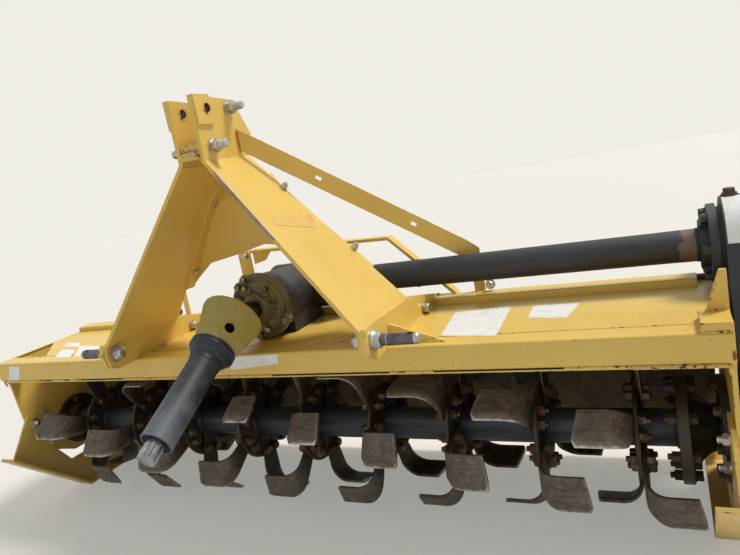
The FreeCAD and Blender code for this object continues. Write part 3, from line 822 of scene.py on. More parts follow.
def bolt(at: Point, axis: Point, flats: float, nut: float | None = None) -> Patch:
    """Hexagon bolt head on a washer, standing on a surface, with a nut and thread end behind it if asked.

    Args:
        at: Point on the surface.
        axis: Direction that the head points in.
        flats: Width across the flats.
        nut: Thickness of what it clamps if a nut shows behind it.

    Returns:
        The patch.
    """
    disc, thread = flats * 0.11, flats * 0.3
    washer = turned_body([(0, 0), (flats * 0.66, 0), (flats * 0.66, disc), (0, disc)], 20, False)
    parts = [washer, hex_body(flats, flats * 0.62, disc)]
    if nut is not None:
        end = turned_body([(0, 0), (thread, 0), (thread, flats * 1.1), (0, flats * 1.15)], 12, False)
        behind = joined([hex_body(flats, flats * 0.75), end])
        parts.append(behind.turned(np.diag((1.0, -1.0, -1.0))).shifted((0, 0, -nut)))
    return joined(parts).turned(facing(axis)).shifted(at)


def bolt_circle(
    centre: Point, axis: Point, radius: float, degrees: Sequence[float], flats: float, nut: float | None = None
) -> list[Patch]:
    """Bolts round a centre, at centre + radius (cos a, sin a) in the plane that the axis stands on.

    Args:
        centre: Middle of the circle.
        axis: Direction that the heads point in.
        radius: Radius of the circle.
        degrees: Angle of each bolt.
        flats: Width across the flats.
        nut: Thickness of what they clamp if nuts show behind it.

    Returns:
        One patch for each bolt.
    """
    angle = np.radians(np.asarray(degrees, float))
    flat = np.stack([np.cos(angle), np.sin(angle), np.zeros(len(angle))], -1) * radius
    return [bolt(spot, axis, flats, nut) for spot in flat @ facing(axis).T + np.asarray(centre, float)]


def threaded_end(at: Point, axis: Point, flats: float, nut: float, stub: float) -> Patch:
    """Washer, nut and threaded bolt end along an axis; the thread's rings have radius r and 0.92 r in turn.

    Args:
        at: Point on the surface.
        axis: Direction that the bolt points in.
        flats: Width across the nut's flats.
        nut: Height of the nut.
        stub: Length of thread beyond the nut.

    Returns:
        The patch.
    """
    radius, step, disc = flats * 0.36, 1.2, 3.0
    height = disc + nut + np.arange(int(stub / step)) * step
    rings = radius * (1 - 0.08 * (np.arange(len(height)) % 2))
    top = height[-1] + 1.5
    thread = [(0.0, disc), *zip(rings, height), (radius * 0.8, top), (0.0, top)]
    washer = [(0, 0), (flats * 0.64, 0), (flats * 0.66, 0.5), (flats * 0.66, 2.6), (flats * 0.62, disc), (0, disc)]
    parts = [turned_body(washer, 28, False), hex_body(flats, nut, disc), turned_body(thread, 20, False)]
    return joined(parts).turned(facing(axis)).shifted(at)


def rounded(corners: Sequence[Point], radius: float, steps: int = 4) -> Array:
    """Round a closed outline: corner p becomes (1-t)(1-t) a + 2t(1-t) p + tt b, a and b lying radius off it.

    Args:
        corners: Corners of the outline.
        radius: Distance from a corner at which its curve starts.
        steps: Points on each curve.

    Returns:
        The rounded outline.
    """
    p = np.asarray(corners, float)
    before, after = np.roll(p, 1, 0) - p, np.roll(p, -1, 0) - p
    len_b, len_a = np.linalg.norm(before, axis=1)[:, None], np.linalg.norm(after, axis=1)[:, None]
    a = p + before / len_b * np.minimum(radius, len_b * 0.45)
    b = p + after / len_a * np.minimum(radius, len_a * 0.45)
    t = np.linspace(0, 1, steps)[None, :, None]
    curve = (1 - t) ** 2 * a[:, None] + 2 * t * (1 - t) * p[:, None] + t**2 * b[:, None]
    return curve.reshape(-1, p.shape[1])


def slab(outline: Array, axis: int, low: float, high: float) -> Patch:
    """Flat plate: an outline of pairs pushed along one axis from low to high.

    Args:
        outline: Closed outline as pairs of the other two coordinates.
        axis: Axis number that it is pushed along.
        low: Where it starts.
        high: Where it ends.

    Returns:
        The patch.
    """
    flat = np.asarray(outline, float)
    return grid_patch(np.stack([np.insert(flat, axis, level, axis=1) for level in (low, high)]))


def block(low: Point, high: Point) -> Patch:
    """Box between its lowest and highest corner."""
    outline = [(low[1], low[2]), (high[1], low[2]), (high[1], high[2]), (low[1], high[2])]
    return slab(np.array(outline), 0, low[0], high[0])


def turned_at(
    profile: Sequence[tuple[float, float]], at: Point, axis: Point, sides: int = 48, close: bool = False
) -> Patch:
    """Body turned from radius and height pairs, standing at a point along an axis."""
    return turned_body(profile, sides, close).turned(facing(axis)).shifted(at)


def label(corners: Sequence[Point], lift: float = 0.6) -> Patch:
    """Blank sticker: (u, v) of a rounded square goes to (1-u)(1-v) c0 + u(1-v) c1 + uv c2 + (1-u)v c3.

    Args:
        corners: Its four corners in order.
        lift: How far it stands out of the surface.

    Returns:
        The patch.
    """
    c = np.asarray(corners, float)
    u, v = rounded([(0, 0), (1, 0), (1, 1), (0, 1)], 0.06).T[..., None]
    flat = (1 - u) * (1 - v) * c[0] + u * (1 - v) * c[1] + u * v * c[2] + (1 - u) * v * c[3]
    normal = np.cross(c[1] - c[0], c[3] - c[0])
    normal /= np.linalg.norm(normal)
    return grid_patch(np.stack([flat - lift * normal, flat + lift * normal]))


def about_x(degrees: float) -> Array:
    """Rotation about the X axis."""
    c, s = math.cos(math.radians(degrees)), math.sin(math.radians(degrees))
    return np.array(((1, 0, 0), (0, c, -s), (0, s, c)))


# Workshop: turns patches and nodes into pieces


@dataclass
class Workshop:
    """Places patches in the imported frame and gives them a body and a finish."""

    nodes: dict[str, bpy.types.Object]
    datum: Array = field(init=False)
    made: dict[Finish, bpy.types.Material] = field(init=False)

    def __post_init__(self) -> None:
        """Find the hitch frame's origin from the lower pins, and build every finish once."""
        right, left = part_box("lower_pin_right"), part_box("lower_pin_left")
        self.datum = np.array(
            [(right[1][0] + left[0][0]) / 2, (right[0][1] + right[1][1]) / 2, (right[0][2] + right[1][2]) / 2]
        )
        self.made = {finish: finish.value.build() for finish in Finish}

    def box(self, node: str) -> Array:
        """Return a node's lowest and highest corner in hitch millimetres."""
        return (np.array(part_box(node)) - self.datum) / MM

    def piece(
        self,
        name: str,
        patches: dict[Finish, Iterable[Patch]],
        body: Body = Body.FRAME,
        slot: Slot = Slot.FRAME_PAINT,
        replaces: Sequence[str] = (),
        smooth: float = 35.0,
        bevel: float = 0.0,
    ) -> bpy.types.Object:
        """Make one object from patches.

        Args:
            name: Name of the piece.
            patches: Its patches by their finish, the main one first.
            body: Body that it rides on.
            slot: Material slot of the record; not used.
            replaces: Nodes that it stands for.
            smooth: Angle in degrees under which edges are shaded smooth.
            bevel: Width of rounded edges in millimetres, or 0.

        Returns:
            The object.
        """
        groups = [joined(members) for members in patches.values()]
        mesh = self.mesh(name, joined(groups))
        for finish in patches:
            mesh.materials.append(self.made[finish])
        numbers = [np.full(sum(map(len, group.faces)), number, np.int32) for number, group in enumerate(groups)]
        mesh.polygons.foreach_set("material_index", np.concatenate(numbers))
        self.tidy(mesh)
        return self.register(mesh, name, body, replaces, smooth, bevel)

    def mesh(self, name: str, patch: Patch) -> bpy.types.Mesh:
        """Put a patch into a new mesh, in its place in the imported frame.

        Args:
            name: Name of the mesh.
            patch: Patch in hitch millimetres.

        Returns:
            The mesh, with the patch's wear where it has some.
        """
        mesh = bpy.data.meshes.new(name)
        faces = [face for group in patch.faces for face in group.tolist()]
        mesh.from_pydata((patch.points * MM + self.datum).tolist(), [], faces)
        if patch.wear is not None and patch.wear.any():
            worn = mesh.attributes.new("wear", "FLOAT", "POINT")
            worn.data.foreach_set("value", patch.wear.astype(np.float32))
        return mesh

    @staticmethod
    def tidy(mesh: bpy.types.Mesh) -> None:
        """Merge doubled points and point the faces outwards.

        Args:
            mesh: Mesh to change.
        """
        work = bmesh.new()
        work.from_mesh(mesh)
        bmesh.ops.remove_doubles(work, verts=work.verts, dist=MERGE_MM * MM)
        bmesh.ops.dissolve_degenerate(work, edges=work.edges, dist=MERGE_MM * MM)
        bmesh.ops.recalc_face_normals(work, faces=work.faces)
        work.to_mesh(mesh)
        work.free()

    def register(
        self,
        mesh: bpy.types.Mesh,
        name: str,
        body: Body,
        replaces: Sequence[str],
        smooth: float,
        bevel: float,
    ) -> bpy.types.Object:
        """Args:
            mesh: Finished mesh.
            name: Name of the piece.
            body: Body that it rides on.
            replaces: Nodes that it stands for.
            smooth: Angle in degrees under which edges are shaded smooth.
            bevel: Width of rounded edges in millimetres, or 0.

        Returns:
            The object.
        """
        mesh.shade_smooth()
        mesh.set_sharp_from_angle(angle=math.radians(smooth))
        obj = bpy.data.objects.new(name, mesh)
        bpy.context.scene.collection.objects.link(obj)
        if bevel:
            edges = obj.modifiers.new("rounded_edges", "BEVEL")
            edges.width = bevel * MM
            edges.segments = 2
            edges.limit_method = "ANGLE"
            edges.angle_limit = math.radians(CREASE_DEG)
            edges.harden_normals = True
            if len(mesh.materials) > 1:
                edges.material = len(mesh.materials) - 1
        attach(obj, body.value)
        if replaces:
            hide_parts(*replaces)
        LOG.info("%s: %d faces", name, len(mesh.polygons))
        return obj

    def drill(self, obj: bpy.types.Object, at: Point, axis: Point, radius: float, length: float) -> None:
        """Cut a round hole through a piece, centred on a point.

        Args:
            obj: Piece that is drilled.
            at: Middle of the hole.
            axis: Direction of the hole.
            radius: Its radius.
            length: Its length.
        """
        half = length / 2
        rod = turned_at([(0, -half), (radius, -half), (radius, half), (0, half)], at, axis, 24)
        mesh = self.mesh("drill", rod)
        self.tidy(mesh)
        tool = bpy.data.objects.new("drill", mesh)
        bpy.context.scene.collection.objects.link(tool)
        cut = obj.modifiers.new("hole", "BOOLEAN")
        cut.object, cut.operation, cut.solver = tool, "DIFFERENCE", "EXACT"
        evaluated = obj.evaluated_get(bpy.context.evaluated_depsgraph_get())
        drilled = bpy.data.meshes.new_from_object(evaluated)
        obj.modifiers.remove(cut)
        obj.data = drilled
        bpy.data.objects.remove(tool)

    def softened(
        self,
        node: str,
        finish: Finish,
        body: Body = Body.FRAME,
        slot: Slot = Slot.FRAME_PAINT,
        edge: Finish | None = None,
        bevel: float = 1.2,
    ) -> bpy.types.Object:
        """Stand a copy of a node in its place, with its points merged and its edges rounded.

        Args:
            node: Node that is copied and replaced.
            finish: Its finish.
            body: Body that it rides on.
            slot: Material slot of the record; not used.
            edge: Finish of the rounded edges, or None for the same.
            bevel: Width of the rounded edges in millimetres.

        Returns:
            The object.
        """
        mesh = self.nodes[node].data.copy()
        mesh.materials.clear()
        mesh.materials.append(self.made[finish])
        if edge:
            mesh.materials.append(self.made[edge])
        work = bmesh.new()
        work.from_mesh(mesh)
        bmesh.ops.remove_doubles(work, verts=work.verts, dist=2 * MERGE_MM * MM)
        bmesh.ops.dissolve_limit(work, angle_limit=math.radians(FLAT_DEG), verts=work.verts, edges=work.edges)
        for face in work.faces:
            face.material_index = 0
        work.to_mesh(mesh)
        work.free()
        if "custom_normal" in mesh.attributes:
            mesh.attributes.remove(mesh.attributes["custom_normal"])
        return self.register(mesh, node + "_piece", body, (node,), CREASE_DEG, bevel)

    def repaint(self, node: str, finish: Finish) -> None:
        """Give a kept node a finish on all its slots.

        Args:
            node: Node to paint.
            finish: Its finish.
        """
        obj = self.nodes[node]
        if not obj.material_slots:
            obj.data.materials.append(self.made[finish])
        for item in obj.material_slots:
            item.material = self.made[finish]
        LOG.info("%s: kept with %s", node, finish.value.name)


# Sub-assemblies


@dataclass
class HoodAndRails:
    """Rails, hood sheets, side plates and skids, with their welds, bolts and blank stickers."""

    shop: Workshop
    deck_z: float = -32.0
    rail_front: float = 48.0
    rail_low: float = -82.8
    side_t: float = 8.0
    deck_stickers: tuple = (
        ((415, 255), (532, 273), (544, 85), (433, 101)),
        ((580, 264), (670, 263), (656, 169), (583, 184)),
        ((-661, 82), (-715, 149), (-654, 142), (-597, 81)),
        ((-582, 82), (-675, 176), (-585, 166), (-494, 81)),
        ((-742, 176), (-778, 214), (-711, 206), (-668, 168)),
    )
    rail_stickers: tuple = (
        ((-805, -38), (-764, -41), (-780, -79), (-826, -80)),
        ((-38, -38), (89, -36), (84, -57), (-44, -68)),
    )
    seam_gaps: tuple = ((-682, -649), (-597, -581), (-535, -384), (62, 336), (427, 661))
    skid_bolts: tuple = ((93.8, -230.4), (128.0, -300.0), (395.0, -320.0))

    def stickers(self) -> None:
        """Lay the blank stickers on the deck and the front rail."""
        flat = [label([(x, y, self.deck_z) for x, y in spots]) for spots in self.deck_stickers]
        upright = [label([(x, self.rail_front, z) for x, z in spots]) for spots in self.rail_stickers]
        self.shop.piece("blank_frame_stickers", {Finish.LABEL: flat + upright})

    def seams(self) -> None:
        """Run stitch welds under the front rail, with dark strips painted as shadow in the gaps between them, and
        weld the rail's ends.
        """
        left, right = self.shop.box("front_rail")[:, 0]
        front, y, z = self.rail_front, self.rail_front + 0.8, self.rail_low
        # Dark strips in the gaps between the welds: painted shadow.
        gap_shadows = [block((a, front - 0.4, z - 1.4), (b, front + 6, z + 0.2)) for a, b in self.seam_gaps]
        thick_from = right - 150
        marks = [left + 12, *np.ravel(self.seam_gaps), thick_from]
        beads = [weld_bead((a, y, z), (b, y, z), 5.0) for a, b in zip(marks[::2], marks[1::2])]
        beads.append(weld_bead((thick_from, y, z - 2), (right - 10, y, z - 2), 9.0))
        for x in (left + 9, right - 9):
            beads.append(weld_bead((x, front + 3, z - 3), (x, front + 9, z - 20), 6, BACK))
            beads.append(weld_bead((x, 102, self.deck_z), (x, 326, self.deck_z), 5))
        self.shop.piece("front_rail_seams", {Finish.YELLOW_WORN: beads, Finish.PAINTED_GAP_SHADOW: gap_shadows})
        spot = weld_bead((right - 3, front + 0.5, z + 6), (right - 3, front + 0.5, z + 22), 6, BACK)
        self.shop.piece("rust_spot_on_rail_end", {Finish.RUST: [spot]})

    def skid_fixings(self) -> None:
        """Bolt the skids through the side plates: nuts inside, low round heads outside."""
        nuts, heads = [], []
        outer = self.shop.box("side_plate_left")[0][0], self.shop.box("side_plate_right")[1][0]
        dome = [(0, 0), (11, 0), (11, 1), (8, 3.6), (4, 4.6), (0, 4.8)]
        for y, z in self.skid_bolts:
            for x, way in zip(outer, (1, -1)):
                nuts.append(threaded_end((x + way * 2 * self.side_t, y, z), (way, 0, 0), Hex.M12, 9, 8))
                heads.append(turned_at(dome, (x, y, z), (-way, 0, 0), 24))
        self.shop.piece("skid_bolts", {Finish.ZINC: nuts + heads}, Body.FRAME, Slot.PLATED_STEEL)

    def build(self) -> None:
        """Soften the folded and welded steel parts and dress them."""
        for node in ("front_rail", "rear_rail", "hood_sheet", "side_plate_left", "side_plate_right"):
            self.shop.softened(node, Finish.YELLOW, edge=Finish.YELLOW_WORN)
        # Its faces turned to the rotor carry painted shade and soil.
        self.shop.softened("rear_sheet", Finish.YELLOW_SHADED_SOILED, edge=Finish.YELLOW_WORN)
        for node in ("skid_left", "skid_right"):
            self.shop.softened(node, Finish.YELLOW, edge=Finish.YELLOW_WORN)
        self.stickers()
        self.seams()
        self.skid_fixings()


@dataclass
class ThreePointHitch:
    """Mast, lugs, pins and braces, with their bolts, welds and blank sticker."""

    shop: Workshop
    lug_x: float = 341.5
    lug_in: float = 329.5
    lug_inner: float = 321.5
    ear_x: float = 34.0
    ear_in: float = 24.0
    pad_x: float = 40.0
    top_hole: tuple[float, float] = (68.0, 481.0)
    edge_top: tuple[float, float, float] = (34.0, 30.0, 379.0)
    edge_foot: tuple[float, float, float] = (329.5, -22.0, 21.0)
    strap_face: tuple = ((-203, 72), (-165, 72), (-165, 140), (-169, 146), (-199, 144), (-203, 138))
    strap_wing: tuple = ((-160, 108), (-124, 115), (-104, 136), (-104, 139), (-160, 139))
    pin_r: float = 11.0
    pin_end: float = 91.0
    pin_hole: float = 16.0
    sheet_normal: tuple[float, float, float] = (0.771, 0.0, 0.637)
    ear_bolts: tuple = ((143.7, 481.0), (66.3, 405.7))
    sheet_bolts: tuple = ((102.8, 179.4, 295.7), (229.7, 205.4, 142.1))
    lug_bolt: tuple[float, float] = (263.0, -19.0)
    brace_bolt: tuple[float, float, float] = (468.0, 372.0, -4.0)
    strap_bolt: tuple[float, float, float] = (-178.0, 361.0, 134.0)
    sticker: tuple = ((143.7, 56.4, 246.2), (156.4, 42.4, 230.9), (180.1, 151.9, 202.2), (157.6, 188.9, 229.3))
    shield_fold: tuple = ((333.0, 180.0), (293.0, 164.0), (94.0, 198.0))
    shield_arch: tuple = ((218, 121), (175, 148), (84, 161), (45, 169), (0, 177))
    shield_t: float = 4.0
    shield_flange: float = 27.0

    @staticmethod
    def both(patches: Iterable[Patch]) -> list[Patch]:
        """Return patches together with their mirror images."""
        kept = list(patches)
        return kept + [p.mirrored() for p in kept]

    def bolts(self) -> None:
        """Fit the big bolts through the ears and the small ones through the sheets."""
        ears = [threaded_end((self.ear_x, y, z), RIGHT, Hex.M16, 15, 20) for y, z in self.ear_bolts]
        sheets = [threaded_end(spot, self.sheet_normal, Hex.M8, 7, 5) for spot in self.sheet_bolts]
        n = np.array(self.sheet_normal)
        inner = [bolt(np.array(spot) - n * 8, -n, Hex.M8) for spot in self.sheet_bolts]
        y, z = self.lug_bolt
        feet = [
            bolt((self.lug_x, y, z), RIGHT, Hex.M12),
            threaded_end((self.lug_in, y, z), LEFT, Hex.M12, 10, 4),
            bolt(self.brace_bolt, FRONT, Hex.M10),
        ]
        groups = {Finish.ZINC: self.both(ears + sheets + inner + feet)}
        self.shop.piece("mast_bolts", groups, slot=Slot.PLATED_STEEL)
        groups = {Finish.ZINC: [bolt(self.strap_bolt, FRONT, Hex.M8)]}
        self.shop.piece("strap_bolt", groups, slot=Slot.PLATED_STEEL)

    def pins(self) -> None:
        """Turn each lower pin: flared collar, cross-drilled pin with a grooved end, and a nut inside the lug."""
        r, end = self.pin_r, self.pin_end
        neck, groove = r - 1.2, end - 8.6
        pin = [(0, -30), (r - 0.5, -30), (r, -29), (r, end - 10.4), (neck, end - 10), (neck, groove), (0, groove)]
        tip = [(0, end - 9), (r - 0.3, end - 9), (r - 0.3, end - 3), (r - 2.5, end), (0, end)]
        collar = [(r - 1, 0), (19, 0), (19, 4), (17.2, 6), (15.4, 12), (14.6, 17), (13.2, 18), (r - 1, 18)]
        ridge = [(r - 1, 29), (r + 0.7, 29.4), (r + 0.7, 30.8), (r - 1, 31.2)]
        at = (self.lug_x, 0, 0)
        fixed = [
            turned_at(tip, at, RIGHT, 48),
            turned_at(collar, at, RIGHT, 48, True),
            turned_at(ridge, at, RIGHT, 40, True),
            threaded_end((self.lug_inner, 0, 0), LEFT, Hex.M20, 12, 6),
        ]
        self.shop.piece("lower_pin_collars", {Finish.ZINC: self.both(fixed)}, slot=Slot.PLATED_STEEL)
        shank = turned_at(pin, at, RIGHT, 48)
        for side, patch, sign in (("right", shank, 1), ("left", shank.mirrored(), -1)):
            node = f"lower_pin_{side}"
            groups = {Finish.PIN: [patch]}
            piece = self.shop.piece(node + "_piece", groups, slot=Slot.PLATED_STEEL, replaces=(node,))
            self.shop.drill(piece, (sign * (self.lug_x + end - self.pin_hole), 0, 0), UP, r / 2, 60)

    def mast_plates(self) -> None:
        """Soften the plates and lay the sticker on them."""
        for side in ("right", "left"):
            for node in ("mast_plate", "lug_plate", "lug_gusset", "brace"):
                self.shop.softened(f"{node}_{side}", Finish.YELLOW, edge=Finish.YELLOW_WORN)
        self.shop.softened("strap", Finish.YELLOW, edge=Finish.YELLOW_WORN)
        self.shop.softened("mast_spacer", Finish.ZINC, Body.FRAME, Slot.PLATED_STEEL, bevel=1.5)
        self.shop.piece("blank_mast_sticker", {Finish.STICKER_YELLOW: [label(self.sticker)]})

    def sheet_x(self, z: Array) -> Array:
        """Inner face of the right mast sheet at a height: x = 27.8 + 0.825 (373.9 - z)."""
        return 27.8 + 0.8254 * (373.9 - z)

    def shield(self) -> None:
        """Folded shield between the mast sheets: two panels that meet in a crease, arched over the gearbox.

        A panel's point (x, z) lies at y(z), the straight line between the fold's points set back by the
        flange, and the side flanges come forward from it along the sheets.
        """
        z, free = np.array(self.shield_fold).T
        x, y = self.sheet_x(z), free + self.shield_flange
        right = np.array(self.shield_arch, float)
        arch = np.concatenate([right * (-1, 1), right[-2::-1]])
        arch = np.insert(arch, 1, np.interp(arch[:, 1], z[::-1], y[::-1]), axis=1)
        side = np.stack([x, y, z], -1)
        other = side * (-1, 1, 1)
        low = np.concatenate([other[1:], arch, side[:0:-1]])
        high = np.concatenate([other[:2], side[1::-1]])
        back = np.array((0, self.shield_t, 0))
        panels = [grid_patch(np.stack([low, low + back])), grid_patch(np.stack([high, high + back]))]
        fold = np.stack([-x, free, z], -1)
        flange = np.concatenate([fold, (fold + (0, self.shield_flange + self.shield_t, 0))[::-1]])
        n = np.array((self.sheet_normal[0], 0, -self.sheet_normal[2]))
        panels += self.both([grid_patch(np.stack([flange - n * 0.5, flange + n * self.shield_t]))])
        self.shop.piece("mast_shield", {Finish.YELLOW: panels}, bevel=0.8)

    def tie(self) -> None:
        """Weld a stepped tie plate between the ears, the weld in its step left rough and bare."""
        half = self.ear_in + 0.4
        steps = [block((-half, 27, 384), (half, 74, 401)), block((-half, 34, 400), (half, 70, 416))]
        self.shop.piece("mast_tie", {Finish.YELLOW_WORN: steps}, bevel=2.0)
        scale = [weld_bead((-half, 33.5, 401), (half, 33.5, 401), 6.0)]
        self.shop.piece("mast_tie_scale", {Finish.CUT_EDGE: scale})

    def bare_edge(self) -> None:
        """Strip of bare steel on the right sheet's front edge, from t = 0.06 to 0.49 of it, uneven at both ends.

        A row's points are top + t (foot - top), inwards along the sheet's normal by 7.6 mm times the width
        w(t) = 1 - |2 s - 1|^8 (0.6 + 0.4 sin 40 s), with s from 0 to 1 along the strip.
        """
        s = np.linspace(0, 1, 60)[:, None]
        top, foot = np.array(self.edge_top), np.array(self.edge_foot)
        line = top + (0.06 + 0.43 * s) * (foot - top) - (0, 0.5, 0)
        width = 1 - np.abs(2 * s - 1) ** 8 * (0.6 + 0.4 * np.sin(40 * s))
        inward = -np.array(self.sheet_normal) * 7.6 * width
        grid = np.stack([line, line + inward, line + inward + (0, 0.8, 0), line + (0, 0.8, 0)], 1)
        self.shop.piece("mast_bare_edge", {Finish.CUT_EDGE: [grid_patch(grid)]})

    def bushes(self) -> None:
        """Ring both top link holes inside and outside with a bush, browned in the bore."""
        y, z = self.top_hole
        rim = [(9.2, -0.5), (13.8, -0.5), (13.4, 0.9), (9.9, 1.2), (9.2, 0.6)]
        outer, inner = (self.pad_x, y, z), (self.ear_in, y, z)
        rings = [turned_at(rim, outer, RIGHT, 40, True), turned_at(rim, inner, LEFT, 40, True)]
        depth = self.pad_x - self.ear_in
        bores = [turned_at([(9.0, 0), (10.2, 0), (10.2, depth), (9.0, depth)], inner, RIGHT, 40, True)]
        groups = {Finish.YELLOW_WORN: self.both(rings), Finish.BOLT: self.both(bores)}
        self.shop.piece("top_link_bushes", groups)

    def strap_bracket(self) -> None:
        """Bracket on the strap's upright leg: a face plate towards the front and a wing beside it."""
        face = slab(np.array(self.strap_face, float), 1, 361, 366)
        wing = slab(np.array(self.strap_wing, float), 1, 368, 373)
        self.shop.piece("strap_bracket", {Finish.YELLOW: [face, wing]}, bevel=0.8)

    def welds(self) -> None:
        """Weld the lugs, gussets and braces down."""
        x, top = self.lug_x, HoodAndRails.deck_z
        runs = (
            ((x + 1, 52, top), (x + 1, 326, top), 8.0, UP),
            ((x + 2, 69.5, top + 1), (x + 111, 69.5, top + 1), 7.0, UP),
            ((x + 1, 69.5, top), (x + 1, 69.5, 6), 7.0, FRONT),
            ((x - 12, 47, -34), (x - 12, 47, 18), 6.0, FRONT),
            ((x + 1, 329, top), (x + 1, 329, -19), 7.0, FRONT),
            ((430, 368, -17.5), (454, 377, -17.5), 8.0, UP),
            ((self.lug_inner - 1, 60, top), (self.lug_inner - 1, 210, top), 7.0, UP),
            ((329, -20, 22), (329, 206, 22), 6.0, UP),
        )
        self.shop.piece("hitch_welds", {Finish.YELLOW_WORN: self.both([weld_bead(*run) for run in runs])})

    def build(self) -> None:
        """Build the hitch."""
        self.mast_plates()
        self.bare_edge()
        self.bushes()
        self.tie()
        self.shield()
        self.strap_bracket()
        self.pins()
        self.bolts()
        self.welds()


@dataclass
class CrossDrive:
    """Gearbox, drive tube and gear case."""

    shop: Workshop
    drive_y: float = 334.0
    drive_z: float = 46.0
    rotor_y: float = 238.0
    rotor_z: float = -281.0
    cover_front: float = 142.0
    cover_r: float = 76.0
    tube_r: float = 30.5
    case_r: float = 86.0
    rim_bolts: tuple = ((-47.0, 95.0), (-27.0, 111.0), (-13.0, -22.0), (62.0, 12.0))
    face_bolts: tuple = ((44.0, 60.0), (16.0, -6.0), (-23.0, 93.0), (31.0, 87.0))
    plug: tuple[float, float] = (-50.0, 60.0)

    def gearbox(self) -> None:
        """Soften the housing and turn its cover: thick rim, groove, stepped face and domed input boss."""
        self.shop.softened("gearbox_housing", Finish.CAST_DARK, Body.FRAME, Slot.GEARBOX_PAINT, bevel=4.0)
        r, back = self.cover_r, self.cover_front + 14
        rim = [(17.6, 0), (r - 2, 0), (r, 2), (r, 11), (r - 1.2, 13.2), (r - 4, 14), (r - 8, 14)]
        groove = [(r - 9.4, 12.2), (r - 12, 12.2)]
        step = [(r - 13.4, 14.4), (r - 17, 16.4), (r - 19, 20), (r - 22, 21), (40, 21.4)]
        dome = [(37.5, 23), (36.2, 27), (34.6, 34), (32, 37), (30, 38), (21, 38), (19.5, 35), (17.6, 35)]
        cover = [turned_at(rim + groove + step + dome, (0, back, self.drive_z), FRONT, 96, True)]
        seat = [(0, -12), (11, -12), (11, 0), (10, 1), (0, 1)]
        bolts = [bolt((x, self.cover_front + 1, z), FRONT, Hex.M10_FLANGED) for x, z in self.rim_bolts]
        bolts += [turned_at(seat, (x, self.cover_front, z), FRONT, 24) for x, z in self.rim_bolts]
        bolts += [bolt((x, back - 20.5, z), FRONT, Hex.M8) for x, z in self.face_bolts]
        x, z = self.plug
        boss = [(9, 8), (20, 8), (20, 13), (17.5, 15), (17, 27), (15.6, 28.6), (13, 28.6), (12.4, 26.4), (9, 26.4)]
        lid = [(0, 20), (11, 20), (11, 25.2), (9.6, 26.2), (0, 26.6)]
        plugs = [turned_at(boss, (x, back, z), FRONT, 40, True), turned_at(lid, (x, back, z), FRONT, 32)]
        rib = slab(np.array([(36.0, 20), (56, 20), (52, 23), (37, 29)]), 1, -3, 3).turned(facing(FRONT))
        turns = [Matrix.Rotation(math.radians(degrees), 3, "Y") for degrees in range(15, 375, 60)]
        ribs = [rib.turned(turn).shifted((0, back, self.drive_z)) for turn in turns]
        groups = {Finish.CAST: cover + plugs + ribs, Finish.CAST_BOLT: bolts}
        self.shop.piece("gearbox_cover_piece", groups, Body.FRAME, Slot.GEARBOX_PAINT, ("gearbox_cover",), 30)

    def box_fittings(self) -> None:
        """Add the housing's flange bolts and breather."""
        low, high = self.shop.box("gearbox_housing")
        y, z = self.drive_y, self.drive_z
        bolts = bolt_circle((high[0] - 14, y, z), LEFT, 54, range(20, 380, 60), Hex.M8)
        bolts += bolt_circle((low[0], y, z), LEFT, 34, range(0, 360, 60), Hex.M8)
        breather = [(0, -3), (9, -3), (9, 0), (6, 1), (6, 6), (11, 7), (11, 17), (9, 19), (0, 19)]
        bolts.append(turned_at(breather, (20, y, z + 56), UP, 24))
        self.shop.piece("gearbox_bolts", {Finish.CAST_BOLT: bolts}, Body.FRAME, Slot.GEARBOX_PAINT)

    def tube(self) -> None:
        """Turn the drive tube, with weld rings and a patch rubbed to the primer, and bolt both flanges.

        The patch starts at x(a) = x0 + 4 sin(3a + 1) + 2.6 sin 8a + 1.8 sin(19a + 2) round the tube.
        """
        self.shop.softened("drive_tube", Finish.DARK, Body.FRAME, Slot.DRIVE_PAINT, Finish.DARK_WORN, 1.6)
        low, high = self.shop.box("drive_tube")
        y, z, r, end = self.drive_y, self.drive_z, self.tube_r, high[0] - low[0] - 44
        skin = [(29, 8), (r + 0.5, 8), (r + 0.5, end), (29, end)]
        band = [(30, 0), (r + 1.6, 0), (r + 1.9, 3), (r + 1.2, 6), (30, 7)]
        dark = [turned_at(skin, (low[0], y, z), RIGHT, 80, True)]
        dark += [turned_at(band, (x, y, z), RIGHT, 64, True) for x in (low[0] + 12, 311, high[0] - 36)]
        sides = 90
        angle = np.arange(sides) * 2 * math.pi / sides
        jag = 4 * np.sin(3 * angle + 1) + 2.6 * np.sin(8 * angle) + 1.8 * np.sin(19 * angle + 2)
        start, stop = high[0] - 62 + jag, np.full(sides, high[0] - 30.0)
        rows = [(start, 30.2), (start, 31.3), (stop, 31.3), (stop, 30.2)]
        grid = np.stack([np.stack([x, y + s * np.cos(angle), z + s * np.sin(angle)], -1) for x, s in rows])
        groups = {Finish.DARK: dark, Finish.PRIMER: [grid_patch(grid, wrap_u=True, caps=False)]}
        self.shop.piece("drive_tube_skin", groups, Body.FRAME, Slot.DRIVE_PAINT)
        bolts = bolt_circle((high[0] - 14, y, z), LEFT, 62, range(0, 360, 60), Hex.M10)
        bolts += bolt_circle((low[0] + 12, y, z), RIGHT, 46, range(20, 380, 60), Hex.M8)
        self.shop.piece("drive_tube_bolts", {Finish.DARK_BOLT: bolts}, Body.FRAME, Slot.DRIVE_PAINT)

